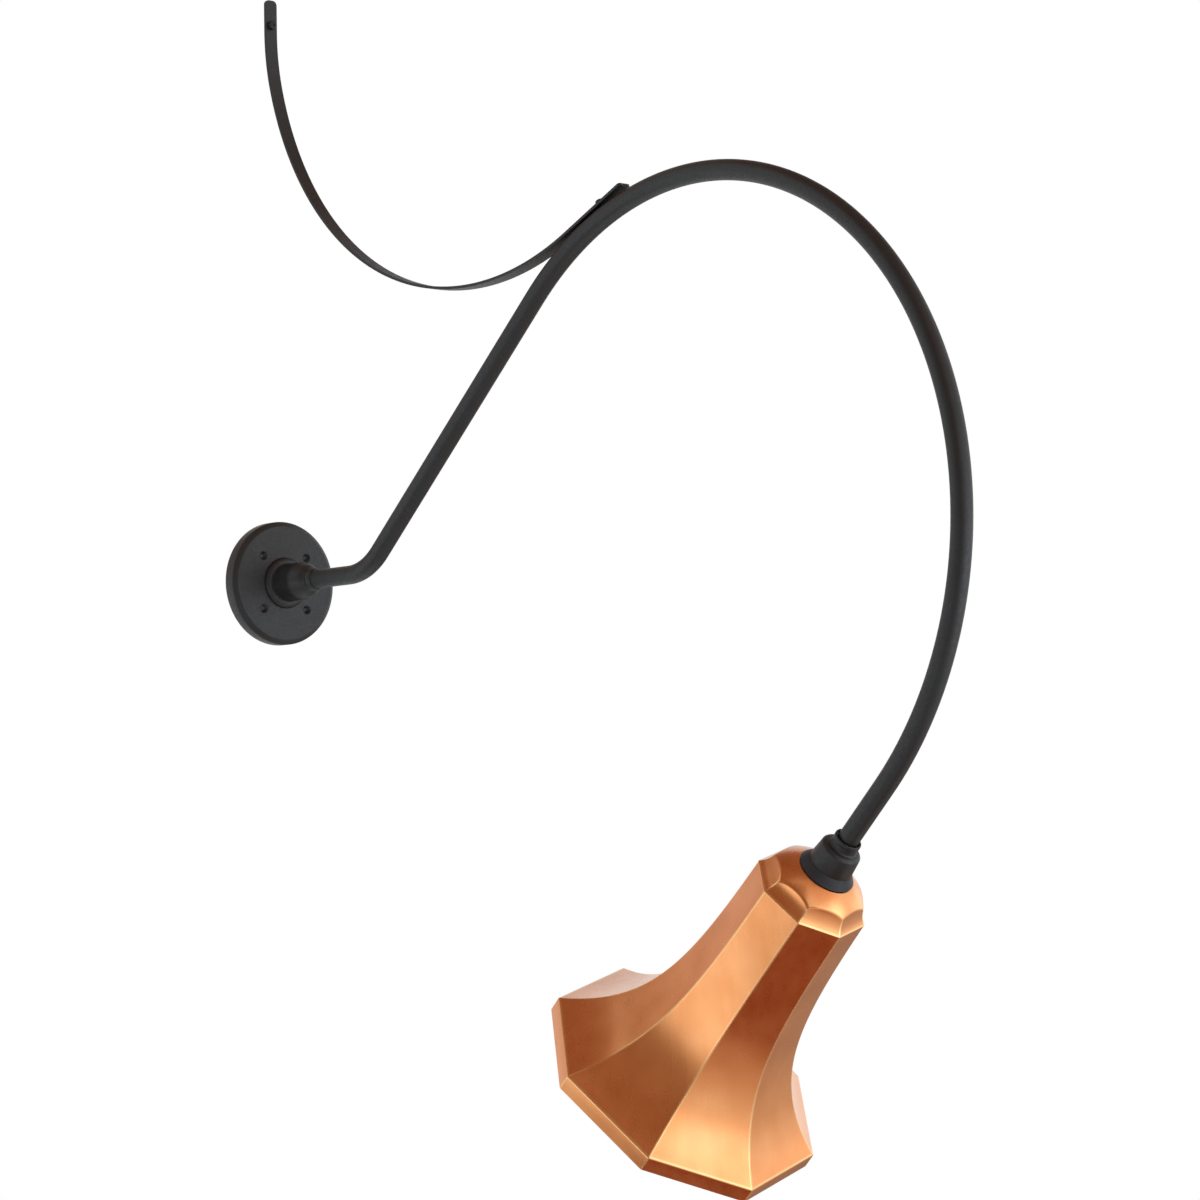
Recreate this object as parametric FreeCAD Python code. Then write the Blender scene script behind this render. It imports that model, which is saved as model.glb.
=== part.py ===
import FreeCAD, Part
import math
import os

# Barn light for a wall: cast wall plate, bent tube arm, flat bar strap and an octagonal bell shade.
# Lengths are millimetres and angles are degrees. The wall is the plane y = 0, the light stands out
# from it towards -Y, +Z is up, and the origin is the centre of the wall plate on the wall.

# Arm tube, bent in the plane x = 0
tube_radius = 9.525
tube_wall = 1.65
arm_start = 40.0
arm_stub_end = 125.8
arm_bend_radius = 76.2
arm_rise_angle = 41.9
arm_rise = 331.5
arm_arch_radius = 326.1
arm_arch_angle = 177.5
arm_drop = 59.9
arm_seat = 20.0
tube_fit = 0.08

# Wall plate
plate_radius = 63.5
plate_edge = 12.4
plate_face = 16.0
plate_bevel = 5.0
plate_rim = 7.0
plate_hollow = 6.0
base_ring_radius = 26.3
base_ring_round = 6.2
hub_foot_radius = 19.6
hub_barrel_radius = 19.2
hub_barrel_end = 42.0
hub_shoulder_radius = 12.9
hub_shoulder_end = 61.5
hub_shoulder_bulge = 2.0
hub_core_wall = 5.0
collar_radius = 12.0
collar_start = 63.6
collar_end = 69.2
collar_groove = 0.7
collar_tip_radius = 10.1
collar_tip = 71.6
plate_hole_circle = 76.2
plate_hole_radius = 2.75
plate_sink_radius = 4.6
plate_sink_depth = 1.9
plate_holes = 4

# Support strap, a flat bar with rounded end corners; its straight tail stands off the arch
strap_width = 14.5
strap_thickness = 2.8
strap_foot = 33.2
strap_foot_radius = 232.3
strap_foot_turn = 14.7
strap_sweep_radius = 341.1
strap_end_heading = 24.0
strap_tail = 55.5
strap_foot_corner = 5.0
strap_tail_corner = 2.5
strap_gap = 0.05

# Screws of the strap, with tall round heads
strap_screw_radius = 2.1
strap_screw_head_radius = 4.6
strap_screw_head_height = 4.6
strap_screw_head_round = 1.0
strap_screw_fit = 0.15
strap_screw_ahead = 19.5
strap_screw_past_wall = 4.0
wall_screw_drop = 26.8

# Set screws with a hexagon socket
set_screw_radius = 2.5
set_screw_length = 6.5
set_screw_fit = 0.05
set_screw_gap = 0.1
set_screw_socket = 1.45
set_screw_socket_depth = 3.0
hub_set_screw_place = 50.0
fitter_set_screw_place = 6.9
fitter_set_screw_length = 2.4

# Fitter on the end of the arm; places along the shade's axis start at the fitter's lip
fitter_lip_inner = 11.0
fitter_lip_radius = 12.5
fitter_lip_top = 0.2
fitter_lip_height = 4.4
fitter_lip_round = 0.9
fitter_neck_radius = 12.0
fitter_neck_end = 8.4
fitter_neck_fillet = 2.0
fitter_shoulder_radius = 18.5
fitter_shoulder_end = 13.4
fitter_shoulder_bulge = 0.65
fitter_cup_radius = 20.2
fitter_cup_end = 31.0
fitter_cup_wall = 2.8
fitter_boss_radius = 9.5
fitter_web_top = 20.4
fitter_cup_floor = 22.5

# Gasket between the fitter and the shade
gasket_slope_end = 38.0
gasket_slope_radius = 25.4
gasket_radius = 26.1
gasket_edge = 1.2
gasket_foot_radius = 24.6

# Shade crown: a dome that eight arched facets cut, with a flared lip
sides = 8
shade_turn = 4.0
sheet_wall = 1.2
crown_top = 39.8
crown_top_radius = 26.5
crown_dome_end = 52.6
crown_dome_radius = 45.2
crown_dome_bulge = 1.0
facet_top = 49.2
facet_top_flat = 41.2
facet_waist = 57.4
facet_waist_flat = 43.4
crown_edge = 66.0
crown_edge_flat = 49.6

# Shade panels: the corner radius grows as an exponential towards the rim
throat_corner = 52.4
flare_spread = 80.0
flare_reach = 50.0
flare_steps = 12
rim = 296.3
rim_fold = 2.0
skirt_end = 311.5
panel_gap = 0.12
tab_length = 5.0
tab_fit = 0.12

# Threaded nipple, washer and lock nut that hold the shade and the lampholder
nipple_radius = 4.8
nipple_bore = 3.5
nipple_start = 21.0
nipple_end = 55.5
nipple_fit = 0.1
washer_radius = 14.0
washer_thickness = 1.5
nut_radius = 8.1
nut_height = 4.0
nut_sides = 6

# Lampholder
cap_radius = 8.0
cap_start = 47.0
cap_flange_radius = 11.0
cap_flange_thickness = 1.5
holder_start = 52.5
holder_radius = 19.5
holder_round = 3.0
holder_end = 92.0
holder_back_bore = 6.5
holder_back_depth = 5.0
shell_radius = 13.9
shell_wall = 0.6
shell_start = 66.0
shell_end = 90.0
shell_hole = 7.0
shell_fit = 0.1
contact_pocket = 3.0
contact_radius = 4.5
contact_thickness = 0.8
contact_button_radius = 2.2
contact_button_height = 3.4
terminal_place = 14.8
terminal_head_radius = 3.0
terminal_head_height = 2.0
terminal_radius = 1.5
terminal_length = 6.0
terminals = 2

overrun = 5.0

FORWARD = FreeCAD.Vector(0, 0, 1)
ACROSS = FreeCAD.Vector(1, 0, 0)
flat_share = math.cos(math.pi / sides)
quarter_rise_share = 1 - math.sqrt(1 / 2)


class BentLine:
    """A line in the plane x = 0 that runs on in straights and tangent arcs."""

    def __init__(self, out=0.0, up=0.0, heading=0.0):
        self.out = out
        self.up = up
        self.heading = heading
        self.legs = []

    def station(self):
        return self.out, self.up, self.heading

    def run(self, length):
        start = self.station()
        self.out += length * math.cos(math.radians(self.heading))
        self.up += length * math.sin(math.radians(self.heading))
        self.legs.append([start, self.station()])

    def bend(self, radius, turn):
        """A positive turn bends upward, seen with the wall on the left."""
        stations = [self.station()]
        side = math.copysign(radius, turn)
        centre_out = self.out - side * math.sin(math.radians(self.heading))
        centre_up = self.up + side * math.cos(math.radians(self.heading))
        for _ in range(2):
            self.heading += turn / 2
            self.out = centre_out + side * math.sin(math.radians(self.heading))
            self.up = centre_up - side * math.cos(math.radians(self.heading))
            stations.append(self.station())
        self.legs.append(stations)

    def edges(self, offset=0.0):
        """The line's edges, moved to its left by the offset."""
        made = []
        for leg in self.legs:
            points = [beside(station, offset) for station in leg]
            curve = Part.LineSegment if len(points) == 2 else Part.Arc
            made.append(curve(*points).toShape())
        return made


def flat(out, up):
    """A point of the plane x = 0 from its distance from the wall and its height."""
    return FreeCAD.Vector(0, -out, up)


def beside(station, offset):
    out, up, heading = station
    turned = math.radians(heading)
    return flat(out - offset * math.sin(turned), up + offset * math.cos(turned))


def placed(shape, station):
    """The shape moved from its own axis Z to a station of a bent line, its Z along the heading."""
    out, up, heading = station
    turn = FreeCAD.Rotation(ACROSS, 90 - heading)
    shape.Placement = FreeCAD.Placement(flat(out, up), turn).multiply(shape.Placement)
    return shape


def profile_point(radius, along):
    return FreeCAD.Vector(radius, 0, along)


def outline(pieces):
    """A closed face in the plane y = 0: two points make a straight and three points an arc."""
    edges = []
    for piece in pieces:
        points = [profile_point(*point) for point in piece]
        curve = Part.LineSegment if len(points) == 2 else Part.Arc
        edges.append(curve(*points).toShape())
    return Part.Face(Part.Wire(edges))


def turned(face):
    """The body of revolution of a face about the axis Z."""
    return face.revolve(FreeCAD.Vector(), FORWARD, 360)


def rod(radius, start, end):
    return Part.makeCylinder(radius, end - start, FreeCAD.Vector(0, 0, start), FORWARD)


def ring(outer, inner, start, end):
    return rod(outer, start, end).cut(rod(inner, start - overrun, end + overrun))


def prism(radius, count, start, end):
    """A regular prism about the axis Z, with the radius at its corners."""
    steps = [2 * math.pi * step / count for step in range(count)]
    corners = [FreeCAD.Vector(radius * math.cos(a), radius * math.sin(a), start) for a in steps]
    face = Part.Face(Part.makePolygon(corners + corners[:1]))
    return face.extrude(FreeCAD.Vector(0, 0, end - start))


def arc_middle(first, last, bulge):
    """The middle point of an arc, by its rise from the chord: away from the axis on the way up it."""
    dr = last[0] - first[0]
    ds = last[1] - first[1]
    chord = math.hypot(dr, ds)
    return (first[0] + last[0]) / 2 - bulge * ds / chord, (first[1] + last[1]) / 2 + bulge * dr / chord


class Bow:
    """A round profile of sheet metal, given by three points, that can be set in by a wall.

    The way is 1 for a profile that bulges away from the axis and -1 for a hollow one.
    """

    def __init__(self, points, way):
        circle = Part.Arc(*[profile_point(*point) for point in points]).toShape().Curve
        self.centre = circle.Center
        self.radius = circle.Radius
        self.way = way

    def at(self, along, inset):
        drop = along - self.centre.z
        reach = self.radius - self.way * inset
        return self.centre.x + self.way * math.sqrt(reach ** 2 - drop ** 2)

    def arc(self, start, end, inset):
        """Three points of the profile between two places along the axis."""
        return [(self.at(along, inset), along) for along in (start, (start + end) / 2, end)]


def arm_line():
    """The arm's centre line from its start in the hub to the lip of the fitter."""
    line = BentLine(arm_start)
    line.run(arm_stub_end - arm_start)
    line.bend(arm_bend_radius, arm_rise_angle)
    line.run(arm_rise)
    line.bend(arm_arch_radius, -arm_arch_angle)
    line.run(arm_drop)
    return line


def strap_line(short=0.0):
    """The strap's centre line from its top end on the wall, down and up to its tail on the arm.

    The sweep ends on the heading at which the strap lies along the arch, which settles the
    height of the strap on the wall and the straight that leads to the contact. The line stops
    short of the tail's end by the length given, if need be on the sweep.
    """
    sweep_turn = 90 - strap_foot_turn + strap_end_heading
    reach = BentLine(0.0, 0.0, -90.0)
    reach.bend(strap_foot_radius, strap_foot_turn)
    reach.bend(strap_sweep_radius, sweep_turn)
    arch = BentLine(arm_start)
    arch.run(arm_stub_end - arm_start)
    arch.bend(arm_bend_radius, arm_rise_angle)
    arch.run(arm_rise)
    arch.bend(arm_arch_radius, strap_end_heading - arm_rise_angle)
    lift = tube_radius + strap_gap + strap_thickness / 2
    contact = beside(arch.station(), lift)
    end = math.radians(strap_end_heading)
    lead = (-contact.y - strap_thickness / 2 - reach.out) / math.cos(end)
    bend_height = contact.z - reach.up - lead * math.sin(end)
    line = BentLine(strap_thickness / 2, bend_height + strap_foot, -90.0)
    line.run(strap_foot)
    line.bend(strap_foot_radius, strap_foot_turn)
    straight = lead + strap_tail - short
    line.bend(strap_sweep_radius, sweep_turn + math.degrees(min(straight, 0) / strap_sweep_radius))
    if straight > 0:
        line.run(straight)
    return line


def strap_screw_station():
    """The place of the screw through strap and arm, past the point where the strap meets the arm."""
    return strap_line(strap_tail - strap_screw_ahead).station()


def head_placed(shape):
    """A piece of the shade's head moved from the fitter's own axis to the end of the arm."""
    return placed(shape, arm_line().station())


def plate_outline():
    """Half section of the casting: radius, then distance from the wall."""
    face_radius = plate_radius - plate_bevel
    ring_inner = base_ring_radius - base_ring_round
    ring_top = plate_face + base_ring_round
    ring_middle = arc_middle((ring_inner, ring_top), (base_ring_radius, plate_face),
                             quarter_rise_share * base_ring_round)
    shoulder = arc_middle((hub_shoulder_radius, hub_shoulder_end), (hub_barrel_radius, hub_barrel_end),
                          hub_shoulder_bulge)
    collar_mid = (collar_radius, (collar_start + collar_end) / 2)
    collar_foot = collar_radius - collar_groove
    bore = tube_radius + tube_fit
    core_foot = hub_foot_radius - hub_core_wall
    core_end = hub_barrel_radius - hub_core_wall
    core_top = arm_start
    rim_inner = plate_radius - plate_rim
    return outline([
        [(rim_inner, 0), (plate_radius, 0)],
        [(plate_radius, 0), (plate_radius, plate_edge)],
        [(plate_radius, plate_edge), (face_radius, plate_face)],
        [(face_radius, plate_face), (base_ring_radius, plate_face)],
        [(base_ring_radius, plate_face), ring_middle, (ring_inner, ring_top)],
        [(ring_inner, ring_top), (hub_foot_radius, ring_top)],
        [(hub_foot_radius, ring_top), (hub_barrel_radius, hub_barrel_end)],
        [(hub_barrel_radius, hub_barrel_end), shoulder, (hub_shoulder_radius, hub_shoulder_end)],
        [(hub_shoulder_radius, hub_shoulder_end), (collar_foot, collar_start)],
        [(collar_foot, collar_start), collar_mid, (collar_foot, collar_end)],
        [(collar_foot, collar_end), (collar_tip_radius, collar_tip)],
        [(collar_tip_radius, collar_tip), (bore, collar_tip)],
        [(bore, collar_tip), (bore, core_top)],
        [(bore, core_top), (core_end, core_top)],
        [(core_end, core_top), (core_foot, plate_hollow)],
        [(core_foot, plate_hollow), (rim_inner, plate_hollow)],
        [(rim_inner, plate_hollow), (rim_inner, 0)],
    ])


def wall_plate():
    """Casting with a hollow back, a bevelled edge, a round base ring, a long hub and four holes."""
    plate = turned(plate_outline())
    sink = Part.makeCone(plate_hole_radius, plate_sink_radius, plate_sink_depth)
    sink.translate(FORWARD * (plate_face - plate_sink_depth))
    hole = rod(plate_hole_radius, 0, plate_face).fuse(sink)
    hole.translate(ACROSS * (plate_hole_circle / 2))
    for index in range(plate_holes):
        cutter = hole.copy()
        cutter.rotate(FreeCAD.Vector(), FORWARD, 360 * (index + 0.5) / plate_holes)
        plate = plate.cut(cutter)
    tapped = Part.makeCylinder(set_screw_radius + set_screw_fit, hub_foot_radius + overrun,
                               FORWARD * hub_set_screw_place, ACROSS)
    return placed(plate.cut(tapped), (0.0, 0.0, 0.0))


def set_screw(length):
    """A set screw along X that starts just off the tube, with its socket at the outer end."""
    tip = tube_radius + set_screw_gap
    screw = rod(set_screw_radius, tip, tip + length)
    socket_floor = tip + length - min(set_screw_socket_depth, length / 2)
    screw = screw.cut(prism(set_screw_socket, nut_sides, socket_floor, tip + length + overrun))
    screw.rotate(FreeCAD.Vector(), FreeCAD.Vector(0, 1, 0), 90)
    return screw


def hub_set_screw():
    screw = set_screw(set_screw_length)
    screw.translate(FORWARD * hub_set_screw_place)
    return placed(screw, (0.0, 0.0, 0.0))


def gooseneck_arm():
    """Round tube from the hub to its seat in the fitter, tapped for the strap's screw."""
    line = arm_line()
    line.run(arm_seat)
    path = Part.Wire(line.edges())
    start = (arm_start, 0.0, 0.0)
    outer = path.makePipe(placed(Part.Face(Part.Wire(Part.makeCircle(tube_radius))), start))
    bore_radius = tube_radius - tube_wall
    inner = path.makePipe(placed(Part.Face(Part.Wire(Part.makeCircle(bore_radius))), start))
    tube = outer.cut(inner)
    return tube.cut(strap_screw_way(strap_screw_radius + set_screw_fit))


def strap_screw_way(radius):
    """A rod across the strap, from above it down through the near wall of the tube."""
    depth = strap_thickness / 2 + strap_gap + tube_wall + strap_screw_past_wall
    way = rod(radius, -depth, strap_thickness)
    return on_strap(way, strap_screw_station())


def on_strap(shape, station):
    """The shape moved to a station of the strap, its Z square to the strap on the upper side."""
    out, up, heading = station
    return placed(shape, (out, up, heading + 90))


def support_strap():
    """Flat bar: the outline between its two faces, as wide as the bar, with rounded end corners."""
    line = strap_line()
    upper = line.edges(strap_thickness / 2)
    lower = line.edges(-strap_thickness / 2)
    first, last = line.legs[0][0], line.legs[-1][-1]
    ends = []
    for station in (first, last):
        corners = [beside(station, side * strap_thickness / 2) for side in (1, -1)]
        ends.append(Part.LineSegment(*corners).toShape())
    face = Part.Face(Part.Wire(Part.__sortEdges__(upper + [ends[1]] + lower + [ends[0]])))
    face.translate(ACROSS * (-strap_width / 2))
    bar = face.extrude(ACROSS * strap_width)
    for station, corner in ((first, strap_foot_corner), (last, strap_tail_corner)):
        bar = bar.makeFillet(corner, [edge for edge in bar.Edges if is_end_corner(edge, station)])
    hole = rod(strap_screw_radius + strap_screw_fit, -strap_thickness, strap_thickness)
    for station in (wall_screw_station(), strap_screw_station()):
        bar = bar.cut(on_strap(hole.copy(), station))
    return bar


def is_end_corner(edge, station):
    """True for a short straight edge that crosses the bar's thickness at the end given."""
    if abs(edge.Length - strap_thickness) > strap_gap:
        return False
    middle = edge.CenterOfMass
    return (flat(-middle.y, middle.z) - beside(station, 0.0)).Length < strap_thickness


def wall_screw_station():
    out, up, heading = strap_line().legs[0][0]
    return out, up - wall_screw_drop, heading


def round_head(start):
    """A tall screw head with a rounded rim that stands on the place given."""
    head = rod(strap_screw_head_radius, start, start + strap_screw_head_height)
    rim = [edge for edge in head.Edges if edge.BoundBox.ZMin > start + strap_screw_head_height / 2]
    return head.makeFillet(strap_screw_head_round, rim)


def strap_arm_screw():
    """Screw through the strap into the arm."""
    depth = strap_thickness / 2 + strap_gap + tube_wall + strap_screw_past_wall
    screw = rod(strap_screw_radius, -depth, strap_thickness / 2).fuse(round_head(strap_thickness / 2))
    return on_strap(screw.removeSplitter(), strap_screw_station())


def strap_wall_screw():
    """Screw through the strap's foot, with its shank shown up to the wall."""
    screw = rod(strap_screw_radius, -strap_thickness / 2, strap_thickness / 2)
    screw = screw.fuse(round_head(strap_thickness / 2))
    return on_strap(screw.removeSplitter(), wall_screw_station())


def fitter_outline():
    """Half section of the fitter: radius, then place along the axis."""
    lip_end = fitter_lip_top + fitter_lip_height
    lip_mid = (fitter_lip_top + lip_end) / 2
    bore = tube_radius + tube_fit
    crest = fitter_lip_radius - fitter_lip_round
    neck_foot = (fitter_neck_radius, fitter_neck_end)
    fillet_end = (fitter_neck_radius + fitter_neck_fillet, fitter_neck_end + fitter_neck_fillet)
    fillet_middle = arc_middle(neck_foot, fillet_end, quarter_rise_share * fitter_neck_fillet)
    shoulder_edge = (fitter_shoulder_radius, fitter_shoulder_end)
    shoulder_middle = arc_middle(shoulder_edge, fillet_end, fitter_shoulder_bulge)
    cup_inner = fitter_cup_radius - fitter_cup_wall
    tapped = nipple_radius + nipple_fit / 2
    return outline([
        [(fitter_lip_inner, fitter_lip_top), (crest, fitter_lip_top)],
        [(crest, fitter_lip_top), (fitter_lip_radius, lip_mid), (fitter_neck_radius, lip_end)],
        [(fitter_neck_radius, lip_end), neck_foot],
        [neck_foot, fillet_middle, fillet_end],
        [fillet_end, shoulder_middle, shoulder_edge],
        [shoulder_edge, (fitter_cup_radius, fitter_cup_end)],
        [(fitter_cup_radius, fitter_cup_end), (cup_inner, fitter_cup_end)],
        [(cup_inner, fitter_cup_end), (cup_inner, fitter_cup_floor)],
        [(cup_inner, fitter_cup_floor), (fitter_boss_radius, fitter_cup_floor)],
        [(fitter_boss_radius, fitter_cup_floor), (fitter_boss_radius, fitter_cup_end)],
        [(fitter_boss_radius, fitter_cup_end), (tapped, fitter_cup_end)],
        [(tapped, fitter_cup_end), (tapped, fitter_web_top)],
        [(tapped, fitter_web_top), (bore, fitter_web_top)],
        [(bore, fitter_web_top), (bore, fitter_lip_top + fitter_lip_round)],
        [(bore, fitter_lip_top + fitter_lip_round), (fitter_lip_inner, fitter_lip_top)],
    ])


def fitter_cap():
    """Cast cup that clamps on the arm's end and carries the nipple in its web."""
    cap = turned(fitter_outline())
    tapped = Part.makeCylinder(set_screw_radius + set_screw_fit, fitter_cup_radius,
                               FORWARD * fitter_set_screw_place, ACROSS)
    return head_placed(cap.cut(tapped))


def fitter_set_screw():
    screw = set_screw(fitter_set_screw_length)
    screw.translate(FORWARD * fitter_set_screw_place)
    return head_placed(screw)


def shade_gasket():
    """Cone ring with a rounded edge, undercut at its foot, between the fitter's cup and the crown."""
    hole = nipple_radius + nipple_fit
    edge_middle = (gasket_radius, gasket_slope_end + gasket_edge / 2)
    edge_end = (gasket_slope_radius, gasket_slope_end + gasket_edge)
    return head_placed(turned(outline([
        [(hole, fitter_cup_end), (fitter_cup_radius, fitter_cup_end)],
        [(fitter_cup_radius, fitter_cup_end), (gasket_slope_radius, gasket_slope_end)],
        [(gasket_slope_radius, gasket_slope_end), edge_middle, edge_end],
        [edge_end, (gasket_foot_radius, crown_top)],
        [(gasket_foot_radius, crown_top), (hole, crown_top)],
        [(hole, crown_top), (hole, fitter_cup_end)],
    ])))


def dome(inset):
    """The crown's dome as a solid, set in by a wall."""
    first = (crown_top_radius, crown_top)
    last = (crown_dome_radius, crown_dome_end)
    bow = Bow([first, arc_middle(last, first, crown_dome_bulge), last], 1)
    top = crown_top + inset
    end = crown_dome_end
    edge = crown_edge + overrun
    end_radius = bow.at(end, inset)
    slope = (bow.centre.z - end) / (end_radius - bow.centre.x)
    edge_radius = end_radius + slope * (edge - end)
    return turned(outline([
        [(0.0, top), (bow.at(top, inset), top)],
        bow.arc(top, end, inset),
        [(end_radius, end), (edge_radius, edge)],
        [(edge_radius, edge), (0.0, edge)],
        [(0.0, edge), (0.0, top)],
    ]))


def facet_bow():
    """The hollow profile of a facet of the crown."""
    points = [(facet_top_flat, facet_top), (facet_waist_flat, facet_waist), (crown_edge_flat, crown_edge)]
    return Bow(points, -1)


def facet_block(inset, edge):
    """Eight-sided solid with the facets' hollow profile, from above the dome down to the edge."""
    bow = facet_bow()
    profile = bow.arc(facet_top, edge, inset)
    top = (profile[0][0], crown_top - overrun)
    side = [top, profile[0]], profile
    mirrored = [[(-radius, along) for radius, along in reversed(piece)] for piece in reversed(side)]
    face = outline([*side, [profile[-1], mirrored[0][0]], *mirrored, [mirrored[-1][-1], top]])
    half = crown_edge_flat + overrun
    loaf = face.extrude(FreeCAD.Vector(0, 2 * half, 0))
    loaf.translate(FreeCAD.Vector(0, -half, 0))
    block = loaf
    for index in range(1, sides // 2):
        crossing = loaf.copy()
        crossing.rotate(FreeCAD.Vector(), FORWARD, 360 * index / sides)
        block = block.common(crossing)
    return block


def shade_crown():
    """Spun crown: the dome where it is inside the facets, hollowed by the sheet's wall."""
    outer = dome(0.0).common(facet_block(0.0, crown_edge))
    inner = dome(sheet_wall).common(facet_block(sheet_wall, crown_edge + overrun / 2))
    crown = outer.cut(inner).cut(rod(nipple_radius + nipple_fit, 0, crown_edge))
    crown.rotate(FreeCAD.Vector(), FORWARD, facet_angle(0))
    return head_placed(crown)


def facet_angle(index):
    """The direction of the middle of a facet about the shade's axis."""
    return shade_turn + 360 * (index + 0.5) / sides


def flare(along):
    """Distance of a panel's outer face from the axis, and its slope, at a place along the axis."""
    growth = flat_share * flare_spread * math.exp((along - rim) / flare_reach)
    return flat_share * throat_corner + growth, growth / flare_reach


def flare_points(inset):
    """Points of the flare from the crown's edge to the rim, set in by a wall."""
    points = []
    for step in range(flare_steps + 1):
        along = crown_edge + (rim - crown_edge) * step / flare_steps
        distance, slope = flare(along)
        lean = math.hypot(1, slope)
        points.append(profile_point(distance - inset / lean, along + inset * slope / lean))
    return points


def panel_outline():
    """Wall of a panel: a tab under the crown, the flare, the fold at the rim and the skirt."""
    curves = []
    for inset in (0.0, sheet_wall):
        curve = Part.BSplineCurve()
        curve.interpolate(flare_points(inset))
        curves.append(curve.toShape())
    outer, inner = flare_points(0.0), flare_points(sheet_wall)
    lean = math.atan(flare(rim)[1])
    fold = FreeCAD.Vector(rim_fold, 0, 0)
    fold_centre = outer[-1] + FreeCAD.Vector(-rim_fold * math.cos(lean), 0, rim_fold * math.sin(lean))
    bow = facet_bow()
    tab_top = crown_edge - tab_length
    tab_outer = sheet_wall + tab_fit
    tab_inner = tab_outer + sheet_wall
    tab = [bow.arc(tab_top, crown_edge, inset) for inset in (tab_outer, tab_inner)]
    edges = list(curves)
    for radius, start in ((rim_fold, outer[-1]), (rim_fold - sheet_wall, inner[-1])):
        middle = fold_centre + FreeCAD.Vector(math.cos(lean / 2), 0, -math.sin(lean / 2)) * radius
        end = fold_centre + FreeCAD.Vector(radius, 0, 0)
        skirt = FreeCAD.Vector(end.x, 0, skirt_end)
        edges.append(Part.Arc(start, middle, end).toShape())
        edges.append(Part.LineSegment(end, skirt).toShape())
    skirt_outer = fold_centre.x + rim_fold
    skirt_inner = skirt_outer - sheet_wall
    edges.append(Part.LineSegment(profile_point(skirt_outer, skirt_end),
                                  profile_point(skirt_inner, skirt_end)).toShape())
    for piece in tab:
        edges.append(Part.Arc(*[profile_point(*point) for point in piece]).toShape())
    tops = [profile_point(*piece[0]) for piece in tab]
    ends = [profile_point(*piece[-1]) for piece in tab]
    edges.append(Part.LineSegment(*tops).toShape())
    edges.append(Part.LineSegment(outer[0], ends[0]).toShape())
    edges.append(Part.LineSegment(inner[0], ends[1]).toShape())
    return Part.Face(Part.Wire(Part.__sortEdges__(edges)))


def shade_panel(index):
    """One of the eight flared panels, cut to its neighbours along the mitre planes."""
    half = throat_corner + flare_spread + overrun
    blank = panel_outline().extrude(FreeCAD.Vector(0, 2 * half, 0))
    blank.translate(FreeCAD.Vector(0, -half, 0))
    mitre = math.pi / sides
    apex = panel_gap / 2 / math.sin(mitre)
    reach = half * math.tan(mitre)
    corners = [(apex, 0), (apex + half, reach), (apex + half, -reach)]
    wedge_points = [FreeCAD.Vector(x, y, crown_top) for x, y in corners]
    wedge = Part.Face(Part.makePolygon(wedge_points + wedge_points[:1]))
    wedge = wedge.extrude(FORWARD * (skirt_end - crown_top + overrun))
    panel = blank.common(wedge)
    panel.rotate(FreeCAD.Vector(), FORWARD, facet_angle(index))
    return head_placed(panel)


def threaded_nipple():
    return head_placed(ring(nipple_radius, nipple_bore, nipple_start, nipple_end))


def clamp_washer():
    start = crown_top + sheet_wall
    return head_placed(ring(washer_radius, nipple_radius + nipple_fit, start, start + washer_thickness))


def lock_nut():
    start = crown_top + sheet_wall + washer_thickness
    nut = prism(nut_radius, nut_sides, start, start + nut_height)
    return head_placed(nut.cut(rod(nipple_radius + nipple_fit / 2, crown_top, cap_start)))


def lampholder_cap():
    """Flanged metal boss that screws on the nipple and carries the ceramic body."""
    flange_start = holder_start - cap_flange_thickness
    boss = rod(cap_radius, cap_start, flange_start)
    flange = rod(cap_flange_radius, flange_start, holder_start)
    bore = rod(nipple_radius + nipple_fit / 2, cap_start - overrun, holder_start + overrun)
    return head_placed(boss.fuse(flange).cut(bore).removeSplitter())


def terminal_angles():
    return [facet_angle(0) + 360 * index / terminals for index in range(terminals)]


def spread(shape, distance, angles):
    """Copies of the shape at a distance from the axis, one at each angle."""
    copies = []
    for angle in angles:
        copy = shape.copy()
        copy.translate(ACROSS * distance)
        copy.rotate(FreeCAD.Vector(), FORWARD, angle)
        copies.append(copy)
    return Part.Compound(copies)


def lampholder_body():
    """Glazed ceramic body with a well for the screw shell and a pocket for the centre contact."""
    end = holder_end
    corner = holder_radius - holder_round
    shoulder = arc_middle((holder_radius, holder_start + holder_round), (corner, holder_start),
                          quarter_rise_share * holder_round)
    body = turned(outline([
        [(0.0, holder_start), (corner, holder_start)],
        [(corner, holder_start), shoulder, (holder_radius, holder_start + holder_round)],
        [(holder_radius, holder_start + holder_round), (holder_radius, end)],
        [(holder_radius, end), (0.0, end)],
        [(0.0, end), (0.0, holder_start)],
    ]))
    body = body.cut(rod(shell_radius + shell_fit, shell_start, end + overrun))
    body = body.cut(rod(contact_radius + shell_fit, shell_start - contact_pocket, end))
    body = body.cut(rod(holder_back_bore, holder_start - overrun, holder_start + holder_back_depth))
    hole = rod(terminal_radius + shell_fit, holder_start - overrun,
               holder_start + terminal_length + shell_fit)
    return head_placed(body.cut(spread(hole, terminal_place, terminal_angles())))


def terminal_screws():
    """Two screws in the back of the ceramic body, each a solid of its own."""
    head = rod(terminal_head_radius, holder_start - terminal_head_height, holder_start)
    shank = rod(terminal_radius, holder_start, holder_start + terminal_length)
    screw = head.fuse(shank).removeSplitter()
    return head_placed(spread(screw, terminal_place, terminal_angles()))


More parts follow.
